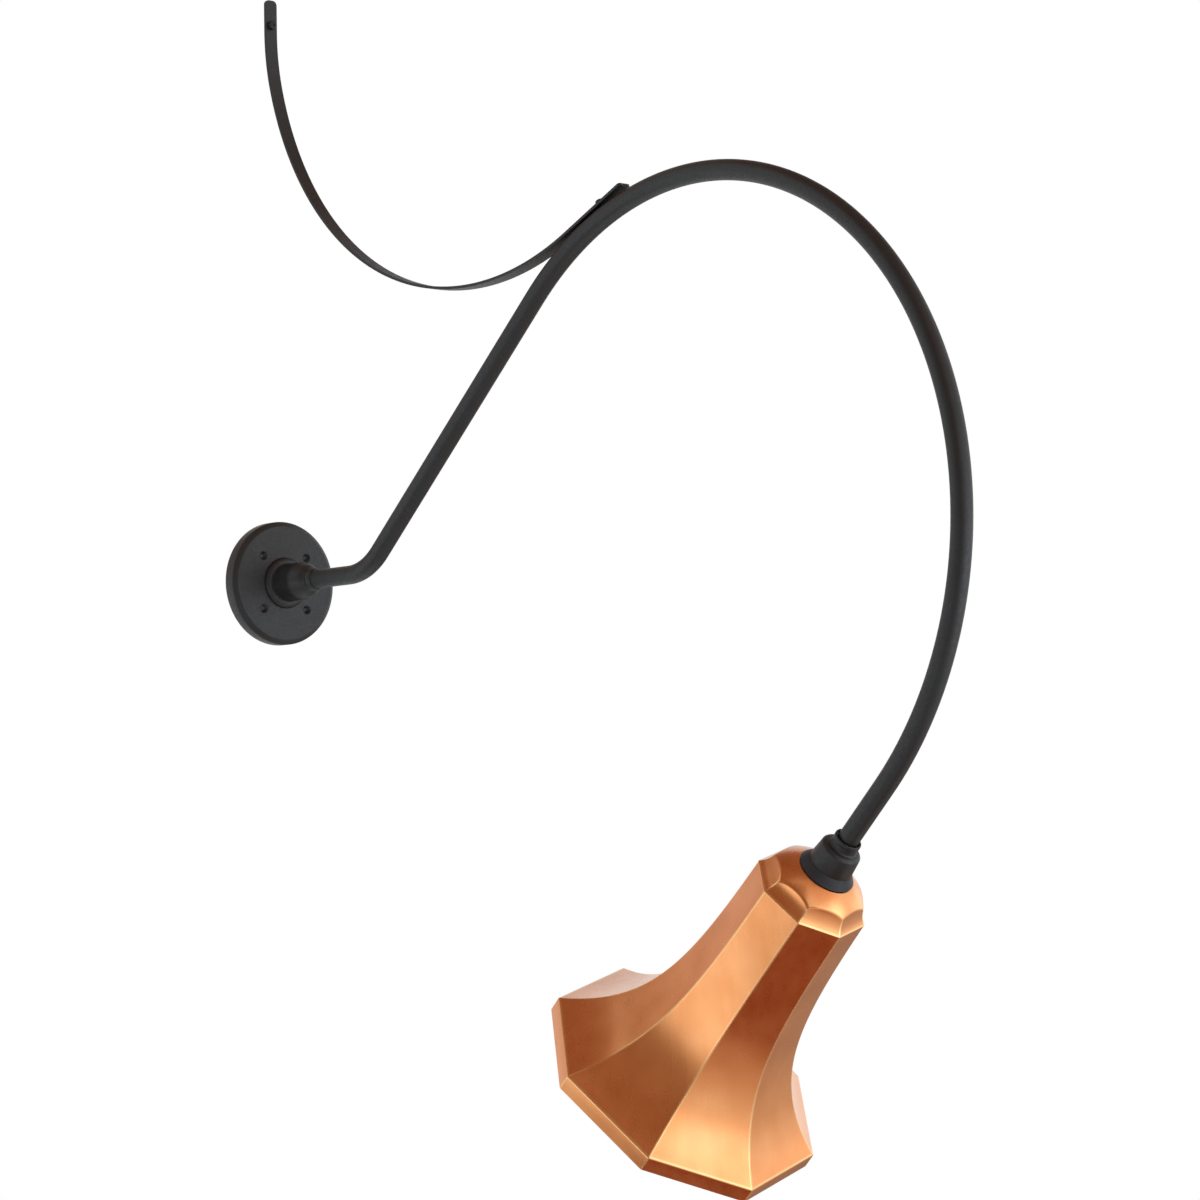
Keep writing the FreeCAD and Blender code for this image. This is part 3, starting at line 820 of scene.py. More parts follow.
@dataclass
class WallPlate:
    """The cast plate: a hollow back, a bevelled edge, a round base ring, a long hub and a collar round the tube."""

    radius: float = 63.5
    edge: float = 12.4
    face: float = 16.0
    bevel: float = 5.0
    rim: float = 7.0
    hollow: float = 6.0
    ring_radius: float = 26.3
    ring_round: float = 6.2
    hub_foot: float = 19.6
    barrel: float = 19.2
    barrel_end: float = 42.0
    shoulder_radius: float = 12.9
    shoulder_end: float = 61.5
    shoulder_bulge: float = 2.0
    core_wall: float = 5.0
    collar_radius: float = 12.0
    collar_start: float = 63.6
    collar_end: float = 69.2
    collar_groove: float = 0.7
    collar_tip_radius: float = 10.1
    collar_tip: float = 71.6
    bore: float = 9.605
    hole_circle: float = 76.2
    hole_radius: float = 2.75
    sink_radius: float = 4.6
    sink_depth: float = 1.9
    sink_edge: float = 0.15
    sink_round: float = 0.3
    tool_spare: float = 1.5
    holes: int = 4
    set_screw: float = 2.55
    set_screw_place: float = 50.0

    def section(self, core_top: float) -> list[Corner]:
        """The half section of the casting: radius and distance from the wall.

        Args:
            core_top: Where the arm's bore starts.

        Returns:
            The corners.
        """
        ring_top = self.face + self.ring_round
        collar_foot = self.collar_radius - self.collar_groove
        return [
            Corner(self.radius - self.rim, 0.0, 0.5, 2),
            Corner(self.radius, 0.0, 0.4, 2),
            Corner(self.radius, self.edge, 0.7, 4),
            Corner(self.radius - self.bevel, self.face, 0.9, 4),
            Corner(self.ring_radius, self.face, 0.3, 3),
            Corner(self.ring_radius, ring_top, self.ring_round - 0.4, 14),
            Corner(self.hub_foot, ring_top, 0.2, 2),
            Corner(self.barrel, self.barrel_end, 1.0, 2),
            Corner.arc((self.barrel, self.barrel_end), (self.shoulder_radius, self.shoulder_end),
                       self.shoulder_bulge, 16, 1.2),
            Corner(self.shoulder_radius, self.shoulder_end, 0.7, 4),
            Corner(collar_foot, self.collar_start, 0.25, 3),
            Corner.arc((collar_foot, self.collar_start), (collar_foot, self.collar_end), self.collar_groove, 8, 0.3),
            Corner(collar_foot, self.collar_end, 0.2, 2),
            Corner(self.collar_tip_radius, self.collar_tip, 0.2, 3),
            Corner(self.bore, self.collar_tip, 0.15, 2),
            Corner(self.bore, core_top),
            Corner(self.barrel - self.core_wall, core_top, 0.5, 2),
            Corner(self.hub_foot - self.core_wall, self.hollow, 1.5, 4),
            Corner(self.radius - self.rim, self.hollow, 1.5, 4),
        ]

    def cutters(self) -> list[Workpiece]:
        """Makes the tools for the four countersunk screw holes and the set screw's hole.

        Returns:
            The tools.
        """
        made = []
        for index in range(self.holes):
            angle = 2 * math.pi * (index + 0.5) / self.holes
            sink = Workpiece().turned([
                Corner(0.0, -self.tool_spare), Corner(self.hole_radius, -self.tool_spare),
                Corner(self.hole_radius, self.face - self.sink_depth),
                Corner(self.sink_radius, self.face - self.sink_edge),
                Corner(self.sink_radius + self.sink_round, self.face + 0.1),
                Corner(self.sink_radius + self.sink_round, self.face + self.tool_spare),
                Corner(0.0, self.face + self.tool_spare)], 48)
            made.append(sink.moved(Matrix.Rotation(angle, 4, "Z")
                                   @ Matrix.Translation((self.hole_circle / 2, 0.0, 0.0))))
        made.append(cross_rod(self.set_screw, self.hub_foot + self.tool_spare, self.set_screw_place))
        return made

    def build(self, arm: Arm) -> bpy.types.Object:
        """Builds the plate.

        Args:
            arm: The arm that it holds.

        Returns:
            The plate.
        """
        work = Workpiece().turned(self.section(arm.start), 192).cut(*self.cutters())
        return work.finish("plate_casting", Body.BRACKET, Shade.POWDER, ["wall_plate"],
                           Station(0.0, 0.0, 0.0).matrix(), angle=28.0)


@dataclass
class Strap:
    """The flat bar from the wall down and round to the top of the arm, with its two screws."""

    width: float = 14.5
    thickness: float = 2.8
    foot: float = 33.2
    foot_radius: float = 232.3
    foot_turn: float = 14.7
    sweep_radius: float = 341.1
    end_heading: float = 24.0
    tail: float = 55.5
    foot_corner: float = 5.0
    tail_corner: float = 2.5
    gap: float = 0.05
    screw_radius: float = 2.1
    hole_radius: float = 2.25
    screw_ahead: float = 19.5
    wall_screw_drop: float = 26.8
    head_radius: float = 4.6
    head_height: float = 4.6
    head_round: float = 1.0
    recess: tuple[float, float, float] = (3.6, 0.75, 2.4)
    recess_turn: float = 22.918
    screw_past_tube: float = 4.0
    edge_round: float = 0.45
    arc_step: float = 1.0
    drill_reach: float = 4.0

    def line(self, arm: Arm, short: float = 0.0) -> BentLine:
        """The bar's centre line from its top end down and up to its tail on the arm.

        Args:
            arm: The arm that the tail lies on.
            short: How far before the tail's end the line stops.

        Returns:
            The line.
        """
        legs = (Leg(0.0, self.foot_radius, self.foot_turn),
                Leg(0.0, self.sweep_radius, 90 - self.foot_turn + self.end_heading))
        reach = BentLine(Station(0.0, 0.0, -90.0), legs).end()
        arch = BentLine(Station(arm.start, 0.0, 0.0), (
            *arm.line().legs[:3], Leg(0.0, arm.arch_radius, self.end_heading - arm.rise_angle))).end()
        contact = arch.beside(arm.tube_radius + self.gap + self.thickness / 2)
        end = math.radians(self.end_heading)
        lead = (contact.out - self.thickness / 2 - reach.out) / math.cos(end)
        height = contact.up - reach.up - lead * math.sin(end)
        return BentLine(Station(self.thickness / 2, height + self.foot, -90.0),
                        (Leg(self.foot), *legs, Leg(lead + self.tail - short)))

    def section(self, work: Workpiece) -> list[bmesh.types.BMEdge]:
        """Draws the bar's section across its width and thickness.

        Args:
            work: The workpiece to draw in.

        Returns:
            The section's edges.
        """
        made = bmesh.ops.create_circle(work.bm, segments=4, radius=math.sqrt(0.5))["verts"]
        bmesh.ops.rotate(work.bm, verts=made, matrix=Matrix.Rotation(math.pi / 4, 3, "Z"))
        bmesh.ops.scale(work.bm, verts=made, vec=(self.width, self.thickness, 1.0))
        return list({e for v in made for e in v.link_edges})

    def bar(self, arm: Arm) -> bpy.types.Object:
        """Builds the bar with rounded end corners and two holes.

        Args:
            arm: The arm that the tail lies on.

        Returns:
            The bar.
        """
        line = self.line(arm)
        work = Workpiece()
        work.sweep(line, self.section(work), self.arc_step)
        bmesh.ops.holes_fill(work.bm, edges=[e for e in work.bm.edges if e.is_boundary], sides=4)
        for place, size in ((line.start, self.foot_corner), (line.end(), self.tail_corner)):
            corners = [e for e in work.bm.edges if self.is_end_corner(e, place)]
            bmesh.ops.bevel(work.bm, geom=corners, offset=size, offset_type="OFFSET", segments=10, profile=0.5,
                            affect="EDGES", material=-1)
        work.heal()
        work.cut(*(rod(self.hole_radius, -self.drill_reach, self.drill_reach, 40).moved(self.upright(place))
                   for place in self.screw_places(arm)))
        return work.finish("strap_bar", Body.BRACKET, Shade.POWDER, ["support_strap"], Matrix.Identity(4),
                           bevel=self.edge_round, angle=40.0)

    def is_end_corner(self, edge: bmesh.types.BMEdge, place: Station) -> bool:
        """Whether an edge crosses the bar's thickness at an end.

        Args:
            edge: The edge.
            place: The end.

        Returns:
            True for such an edge.
        """
        middle = (edge.verts[0].co + edge.verts[1].co) / 2
        near = (Vector((0.0, middle.y, middle.z)) - place.point()).length < TOLERANCE
        return near and abs(edge.calc_length() - self.thickness) < TOLERANCE

    def screw_places(self, arm: Arm) -> tuple[Station, Station]:
        """The places of the wall screw and of the arm screw on the bar's centre line."""
        return self.line(arm).start.ahead(self.wall_screw_drop), self.line(arm, self.tail - self.screw_ahead).end()

    @staticmethod
    def upright(place: Station) -> Matrix:
        """The move from the axis Z to a place on the bar, square to it."""
        return Station(place.out, place.up, place.heading + 90).matrix()

    def screw(self, name: str, node: str, place: Station, tip: float) -> bpy.types.Object:
        """Builds a round-head screw with a cross recess.

        Args:
            name: The piece's name.
            node: The node that it replaces.
            place: Its place on the bar.
            tip: Where its shank ends, from the bar's middle.

        Returns:
            The screw.
        """
        top = self.thickness / 2
        work = Workpiece().turned([
            Corner(0.0, tip), Corner(self.screw_radius, tip, 0.3, 2), Corner(self.screw_radius, top, 0.0),
            Corner(self.head_radius, top, 0.15, 2),
            Corner(self.head_radius, top + self.head_height - 0.25, self.head_round, 6),
            Corner(0.0, top + self.head_height)], 64)
        blades = []
        for turn in (self.recess_turn, self.recess_turn + 90):
            blade = Workpiece()
            bmesh.ops.create_cube(blade.bm, size=1.0)
            bmesh.ops.scale(blade.bm, verts=blade.bm.verts, vec=self.recess)
            blades.append(blade.moved(Matrix.Rotation(math.radians(turn), 4, "Z")
                                      @ Matrix.Translation((0.0, 0.0, top + self.head_height))))
        work.cut(*blades)
        return work.finish(name, Body.BRACKET, Shade.SCREW, [node], self.upright(place), angle=32.0)

    def build(self, arm: Arm) -> list[bpy.types.Object]:
        """Builds the bar and its screws.

        Args:
            arm: The arm that the tail lies on.

        Returns:
            The three pieces.
        """
        wall_place, arm_place = self.screw_places(arm)
        back = -self.thickness / 2
        return [self.bar(arm),
                self.screw("wall_screw", "strap_wall_screw", wall_place, back),
                self.screw("arm_screw", "strap_arm_screw", arm_place,
                           back - self.gap - arm.tube_wall - self.screw_past_tube)]


# ---------------------------------------------------------------------------------------------------------------
# Shade and its fittings
# ---------------------------------------------------------------------------------------------------------------


@dataclass
class Fitter:
    """The cast cup on the arm's end and the rubber gasket between it and the shade."""

    lip_inner: float = 11.0
    lip_radius: float = 12.5
    lip_top: float = 0.2
    lip_height: float = 4.4
    mouth: float = 3.0
    neck_radius: float = 12.0
    neck_end: float = 8.4
    neck_fillet: float = 2.0
    shoulder_radius: float = 18.5
    shoulder_end: float = 13.4
    shoulder_bulge: float = 0.65
    cup_radius: float = 20.2
    cup_end: float = 31.0
    cup_wall: float = 2.8
    boss_radius: float = 9.5
    web_top: float = 20.4
    cup_floor: float = 22.5
    bore: float = 9.605
    tapped: float = 4.85
    set_screw: float = 2.55
    set_screw_place: float = 6.9
    slope_end: float = 38.0
    slope_radius: float = 25.4
    gasket_radius: float = 26.1
    gasket_edge: float = 1.2
    gasket_foot: float = 24.6
    crown_top: float = 39.8
    gasket_hole: float = 4.9

    def cup(self, matrix: Matrix) -> bpy.types.Object:
        """Builds the cast cup.

        Args:
            matrix: The move to the shade's axis.

        Returns:
            The cup.
        """
        lip_end = self.lip_top + self.lip_height
        fillet = self.neck_radius + self.neck_fillet, self.neck_end + self.neck_fillet
        work = Workpiece().turned([
            Corner(self.lip_inner, self.lip_top, 0.35, 3),
            Corner(self.lip_radius, self.lip_top, 1.0, 6),
            Corner(self.lip_radius, lip_end - 0.5, 0.7, 5),
            Corner(self.neck_radius, lip_end, 0.35, 3),
            Corner(self.neck_radius, fillet[1], self.neck_fillet - 0.05, 6),
            Corner.arc(fillet, (self.shoulder_radius, self.shoulder_end), self.shoulder_bulge, 10, 0.45),
            Corner(self.shoulder_radius, self.shoulder_end, 0.4, 4),
            Corner(self.cup_radius, self.cup_end, 0.3, 2),
            Corner(self.cup_radius - self.cup_wall, self.cup_end, 0.3, 2),
            Corner(self.cup_radius - self.cup_wall, self.cup_floor, 0.6, 3),
            Corner(self.boss_radius, self.cup_floor, 0.6, 3),
            Corner(self.boss_radius, self.cup_end),
            Corner(self.tapped, self.cup_end),
            Corner(self.tapped, self.web_top),
            Corner(self.bore, self.web_top),
            Corner(self.bore, self.lip_top + self.mouth),
            Corner(self.lip_inner - 0.2, self.lip_top + self.mouth, 0.3, 2),
        ], 160).cut(cross_rod(self.set_screw, self.cup_radius, self.set_screw_place))
        return work.finish("fitter_cup", Body.HEAD, Shade.POWDER, ["fitter_cap"], matrix, angle=30.0)

    def gasket(self, matrix: Matrix) -> bpy.types.Object:
        """Builds the cone ring.

        Args:
            matrix: The move to the shade's axis.

        Returns:
            The ring.
        """
        work = Workpiece().turned([
            Corner(self.gasket_hole, self.cup_end),
            Corner(self.cup_radius + 0.1, self.cup_end, 0.2, 2),
            Corner(self.slope_radius, self.slope_end, 0.5, 4),
            Corner(self.gasket_radius, self.slope_end + self.gasket_edge / 2, 0.35, 4),
            Corner(self.slope_radius, self.slope_end + self.gasket_edge, 0.3, 3),
            Corner(self.gasket_foot, self.crown_top),
            Corner(self.gasket_hole, self.crown_top),
        ], 160)
        return work.finish("gasket_ring", Body.HEAD, Shade.GASKET, ["shade_gasket"], matrix, angle=35.0)

    def build(self, matrix: Matrix) -> list[bpy.types.Object]:
        """Builds the cup and the gasket on the shade's axis."""
        return [self.cup(matrix), self.gasket(matrix)]


@dataclass(frozen=True)
class Bow:
    """A circular profile through three points of radius and place, the way being 1 or -1."""

    first: tuple[float, float]
    middle: tuple[float, float]
    last: tuple[float, float]
    way: int

    def circle(self) -> tuple[float, float, float]:
        """Finds the circle through the three points.

        Returns:
            The radius and place of the circle's centre, and the circle's radius.
        """
        (ax, ay), (bx, by), (cx, cy) = self.first, self.middle, self.last
        double = 2 * (ax * (by - cy) + bx * (cy - ay) + cx * (ay - by))
        a, b, c = ax * ax + ay * ay, bx * bx + by * by, cx * cx + cy * cy
        x = (a * (by - cy) + b * (cy - ay) + c * (ay - by)) / double
        y = (a * (cx - bx) + b * (ax - cx) + c * (bx - ax)) / double
        return x, y, math.hypot(ax - x, ay - y)

    def at(self, along: float, inset: float = 0.0) -> float:
        """The profile's radius at a place.

        Args:
            along: The place along the axis.
            inset: How far the profile is set in.

        Returns:
            The radius.
        """
        x, y, radius = self.circle()
        reach = radius - self.way * inset
        return x + self.way * math.sqrt(max(reach ** 2 - (along - y) ** 2, 0.0))


def soft_least(first: float, last: float, reach: float) -> float:
    """The lesser of two lengths, with a round where they come nearer than the reach."""
    share = min(max(0.5 + 0.5 * (last - first) / reach, 0.0), 1.0)
    return last + (first - last) * share - reach * share * (1 - share)


@dataclass
class Crown:
    """The spun crown: a dome that eight hollow facets with arched tops are pressed into."""

    hole: float = 4.9
    top: float = 39.8
    top_radius: float = 26.5
    dome_end: float = 52.6
    dome_radius: float = 45.2
    dome_bulge: float = 1.0
    facet_top: float = 49.2
    facet_top_flat: float = 41.2
    waist: float = 57.4
    waist_flat: float = 43.4
    edge: float = 66.0
    edge_flat: float = 49.6
    wall: float = 1.2
    arch_round: float = 1.5
    ridge_round: float = 0.9
    columns: int = 384
    dome_rows: int = 44
    skirt_rows: int = 25
    gather: float = 0.82
    edge_round: float = 0.4

    def facet(self) -> Bow:
        """The hollow profile of a facet."""
        return Bow((self.facet_top_flat, self.facet_top), (self.waist_flat, self.waist),
                   (self.edge_flat, self.edge), -1)

    def dome(self) -> Bow:
        """Lays out the dome.

        Returns:
            The round profile of the dome.
        """
        dr, ds = self.dome_radius - self.top_radius, self.dome_end - self.top
        chord = math.hypot(dr, ds)
        middle = ((self.top_radius + self.dome_radius) / 2 + self.dome_bulge * ds / chord,
                  (self.top + self.dome_end) / 2 - self.dome_bulge * dr / chord)
        return Bow((self.top_radius, self.top), middle, (self.dome_radius, self.dome_end), 1)

    def profile(self, work: Workpiece) -> list[bmesh.types.BMVert]:
        """Draws the spun blank's profile before the facets are pressed.

        Args:
            work: The workpiece to draw in.

        Returns:
            The profile's points.
        """
        bm = work.bm
        hub = bm.verts.new((self.hole, 0.0, self.top))
        shoulder = bm.verts.new((self.top_radius, 0.0, self.top))
        bm.edges.new((hub, shoulder))
        x, y, _ = self.dome().circle()
        start = math.atan2(self.top - y, self.top_radius - x)
        end = math.atan2(self.dome_end - y, self.dome_radius - x)
        made = bmesh.ops.spin(bm, geom=[shoulder], cent=(x, 0.0, y), axis=(0.0, 1.0, 0.0), dvec=(0.0, 0.0, 0.0),
                              angle=start - end, steps=self.dome_rows)["geom_last"]
        last = next(v for v in made if isinstance(v, bmesh.types.BMVert))
        slope = -math.sin(end) / math.cos(end)
        skirt = bm.verts.new((self.dome_radius + slope * (self.edge - self.dome_end), 0.0, self.edge))
        line = bm.edges.new((last, skirt))
        bmesh.ops.subdivide_edges(bm, edges=[line], cuts=self.skirt_rows - 1)
        return list(bm.verts)

    def press(self, work: Workpiece) -> None:
        """Presses the facets into the spun blank.

        Args:
            work: The workpiece.
        """
        facet = self.facet()
        pitch = 2 * math.pi / SIDES
        for v in work.bm.verts:
            radius, along = math.hypot(v.co.x, v.co.y), v.co.z
            turns = math.atan2(v.co.y, v.co.x) / pitch
            side = round(turns - 0.5) + 0.5
            share = turns - side
            share += self.gather * math.sin(2 * math.pi * share) / (2 * math.pi)
            angle = share * pitch
            flat = facet.at(max(along, self.facet_top))
            reach = soft_least(flat / math.cos(angle), flat / math.cos(pitch - abs(angle)), self.ridge_round)
            pressed = soft_least(radius, reach, self.arch_round)
            v.co.x, v.co.y = pressed * math.cos(angle + side * pitch), pressed * math.sin(angle + side * pitch)

    def build(self, matrix: Matrix) -> bpy.types.Object:
        """Builds the crown.

        Args:
            matrix: The move to the shade's axis.

        Returns:
            The crown.
        """
        work = Workpiece()
        work.turn(self.profile(work), self.columns)
        self.press(work)
        work.face_out(lambda face: -face.normal.z)
        return work.finish("crown_spinning", Body.HEAD, Shade.COPPER, ["shade_crown"],
                           matrix @ Matrix.Rotation(math.radians(SHADE_TURN), 4, "Z"),
                           bevel=self.edge_round, angle=50.0, sheet=self.wall)


@dataclass
class Panels:
    """The eight flared panels, each with a tab under the crown, a fold at the rim and a short skirt."""

    crown: Crown = field(default_factory=Crown)
    throat_corner: float = 52.4
    spread: float = 80.0
    reach: float = 50.0
    rim: float = 296.3
    fold: float = 2.0
    skirt_end: float = 311.5
    wall: float = 1.2
    gap: float = 0.12
    tab: float = 5.0
    tab_fit: float = 0.12
    tab_bend: float = 0.25
    rows: int = 64
    rim_steps: int = 6
    fold_round: float = 1.6
    fold_steps: int = 4
    edge_round: float = 0.2

    def flare(self, along: float) -> tuple[float, float]:
        """The flare's distance from the axis and its slope.

        Args:
            along: The place along the axis.

        Returns:
            The distance and the slope.
        """
        flat = math.cos(math.pi / SIDES)
        growth = flat * self.spread * math.exp((along - self.rim) / self.reach)
        return flat * self.throat_corner + growth, growth / self.reach

    def outer_line(self) -> list[Vector]:
        """Lays out the outer face of a panel from the tab to the skirt's edge.

        Returns:
            Points of distance from the axis and place along it.
        """
        facet, edge = self.crown.facet(), self.crown.edge
        tab = (edge - self.tab, edge - 0.6 * self.tab, edge - self.tab_bend)
        made = [Vector((facet.at(along, self.wall + self.tab_fit), along)) for along in tab]
        start = edge + self.tab_bend
        for row in range(self.rows + 1):
            along = start + (self.rim - start) * (row / self.rows)
            made.append(Vector((self.flare(along)[0], along)))
        lean = -math.atan(self.flare(self.rim)[1])
        centre = made[-1] - Vector((math.cos(lean), math.sin(lean))) * self.fold
        for step in range(self.rim_steps):
            angle = lean * (1 - (step + 1) / self.rim_steps)
            made.append(centre + Vector((math.cos(angle), math.sin(angle))) * self.fold)
        for share in (0.5, 1.0):
            made.append(Vector((centre.x + self.fold, centre.y + (self.skirt_end - centre.y) * share)))
        return made

    def panel(self, index: int, matrix: Matrix) -> bpy.types.Object:
        """Builds one panel.

        Args:
            index: Its number round the shade.
            matrix: The move to the shade's axis.

        Returns:
            The panel.
        """
        line = self.outer_line()
        work = Workpiece()
        rows, columns = len(line) - 1, 2 * self.fold_steps + 1
        bmesh.ops.create_grid(work.bm, x_segments=rows, y_segments=columns, size=1.0)
        mitre = math.pi / SIDES
        for v in work.bm.verts:
            place = line[round((v.co.x + 1) / 2 * rows)]
            column = round((v.co.y + 1) / 2 * columns)
            turn = mitre * max(self.fold_steps - column, column - self.fold_steps - 1) / self.fold_steps
            half = (place.x - self.fold_round) * math.tan(mitre) + self.fold_round * math.sin(turn)
            half -= self.gap / 2 / math.cos(mitre)
            v.co = (place.x - self.fold_round * (1 - math.cos(turn)), math.copysign(half, v.co.y), place.y)
        work.heal()
        work.face_out(lambda face: face.normal.x)
        turn = math.radians(SHADE_TURN + 360 / SIDES * (index + 0.5))
        return work.finish(f"bell_panel_{index + 1}", Body.HEAD, Shade.COPPER, [f"shade_panel_{index + 1}"],
                           matrix @ Matrix.Rotation(turn, 4, "Z"), bevel=self.edge_round, angle=50.0, segments=2,
                           sheet=self.wall)

    def build(self, matrix: Matrix) -> list[bpy.types.Object]:
        """Builds all eight panels round the shade's axis."""
        return [self.panel(index, matrix) for index in range(SIDES)]


@dataclass
class Lampholder:
    """The ceramic body and the threaded brass shell in its well."""

    start: float = 52.5
    radius: float = 19.5
    round_edge: float = 3.0
    end: float = 92.0
    back_bore: float = 6.5
    back_depth: float = 5.0
    well: float = 14.0
    shell_start: float = 66.0
    shell_end: float = 90.0
    shell_radius: float = 13.9
    shell_wall: float = 0.6
    sheet: float = 0.5
    shell_hole: float = 7.0
    pocket: float = 3.0
    pocket_radius: float = 4.6
    thread_pitch: float = 3.63
    thread_depth: float = 0.85
    thread_rows: int = 10
    thread_columns: int = 96

    def ceramic(self, matrix: Matrix) -> bpy.types.Object:
        """Builds the ceramic body.

        Args:
            matrix: The move to the shade's axis.

        Returns:
            The body.
        """
        floor = self.shell_start - self.pocket
        work = Workpiece().turned([
            Corner(0.0, self.start + self.back_depth), Corner(self.back_bore, self.start + self.back_depth, 0.5, 3),
            Corner(self.back_bore, self.start, 0.4, 3), Corner(self.radius, self.start, self.round_edge, 8),
            Corner(self.radius, self.end, 1.4, 6), Corner(self.well, self.end, 0.9, 4),
            Corner(self.well, self.shell_start, 0.3, 2), Corner(self.pocket_radius, self.shell_start, 0.3, 2),
            Corner(self.pocket_radius, floor), Corner(0.0, floor)], 128)
        return work.finish("ceramic_body", Body.HEAD, Shade.CERAMIC, ["lampholder_body"], matrix, angle=35.0)

    def shell(self, matrix: Matrix) -> bpy.types.Object:
        """Builds the threaded shell and its floor.

        Args:
            matrix: The move to the shade's axis.

        Returns:
            The shell.
        """
        work = Workpiece()
        bm = work.bm
        low, high = self.shell_start - 2 * self.thread_pitch, self.shell_end + self.thread_pitch
        turns = math.ceil((high - low) / self.thread_pitch)
        ends = [bm.verts.new((self.shell_radius, 0.0, low + count * self.thread_pitch)) for count in (0, turns)]
        line = bm.edges.new(ends)
        bmesh.ops.subdivide_edges(bm, edges=[line], cuts=turns * self.thread_rows - 1)
        for v in bm.verts:
            wave = 0.5 - 0.5 * math.cos(2 * math.pi * (v.co.z - low) / self.thread_pitch)
            v.co.x = self.shell_radius - self.thread_depth * wave
        climb = (0.0, 0.0, self.thread_pitch / self.thread_columns)
        bmesh.ops.spin(bm, geom=[*bm.verts, *bm.edges], cent=(0.0, 0.0, 0.0), axis=(0.0, 0.0, 1.0), dvec=climb,
                       angle=2 * math.pi, steps=self.thread_columns)
        work.heal()
        floor_top = self.shell_start + self.shell_wall
        for place, way in ((floor_top, -1.0), (self.shell_end, 1.0)):
            bmesh.ops.bisect_plane(bm, geom=[*bm.verts, *bm.edges, *bm.faces], plane_co=(0.0, 0.0, place),
                                   plane_no=(0.0, 0.0, way), clear_outer=True)
        rim = [e for e in bm.edges if e.is_boundary and all(v.co.z < floor_top + TOLERANCE for v in e.verts)]
        made = bmesh.ops.extrude_edge_only(bm, edges=rim)["geom"]
        for v in made:
            if isinstance(v, bmesh.types.BMVert):
                share = self.shell_hole / math.hypot(v.co.x, v.co.y)
                v.co = (v.co.x * share, v.co.y * share, self.shell_start + 0.1)
        work.face_out(lambda face: face.normal.xy.dot(face.calc_center_median().xy))
        return work.finish("thread_shell", Body.HEAD, Shade.BRASS, ["screw_shell"], matrix, angle=60.0,
                           sheet=self.sheet)

    def build(self, matrix: Matrix) -> list[bpy.types.Object]:
        """Builds the ceramic body and the shell on the shade's axis."""
        return [self.ceramic(matrix), self.shell(matrix)]


@dataclass(frozen=True)
class CarriedNodes:
    """The small nodes of the frame that keep their own mesh and get a finish."""

    screws: tuple[str, ...] = ("hub_set_screw", "fitter_set_screw")
    steel: tuple[str, ...] = ("threaded_nipple", "clamp_washer", "lock_nut", "lampholder_cap")
    brass: tuple[str, ...] = ("terminal_screws", "centre_contact")

    def dress(self) -> None:
        """Gives each carried node its material."""
        for names, shade in ((self.screws, Shade.SCREW), (self.steel, Shade.STEEL), (self.brass, Shade.BRASS)):
            for name in names:
                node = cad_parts[name]
                node.data.materials.clear()
                node.data.materials.append(FINISHES.material(shade))
                LOG.info("%s: dressed as %s", name, shade.value)


# ---------------------------------------------------------------------------------------------------------------
# Studio
# ---------------------------------------------------------------------------------------------------------------


class Fade(Enum):
    """The way in which a card's tone changes: not at all, from its foot to its top, or from left to right."""

    NONE = ""
    UP = "Y"
    ACROSS = "X"


@dataclass(frozen=True)
class Card:
    """A glowing card of the studio that only reflections see, placed by direction from the shade and facing it, in
    metres and degrees.
    """

    name: str
    azimuth: float
    elevation: float
    width: float
    height: float
    tone: Colour
    distance: float = 3.2
    fade: Fade = Fade.NONE
    end_tone: Colour = (1.0, 1.0, 1.0)

    def matrix(self, centre: Vector) -> Matrix:
        """The card's place.

        Args:
            centre: The point that it faces.

        Returns:
            The matrix of a card in its own XY plane, facing down its Z axis.
        """
        a, e = math.radians(self.azimuth), math.radians(self.elevation)
        way = Vector((math.sin(a) * math.cos(e), -math.cos(a) * math.cos(e), math.sin(e)))
        turn = way.to_track_quat("Z", "Y").to_matrix().to_4x4()
        return Matrix.Translation(centre + way * self.distance) @ turn


@dataclass(frozen=True)
class Lamp(Card):
    """A soft lamp of the studio: a card that shines."""

    strength: float = 1.0
    mirrored: bool = True


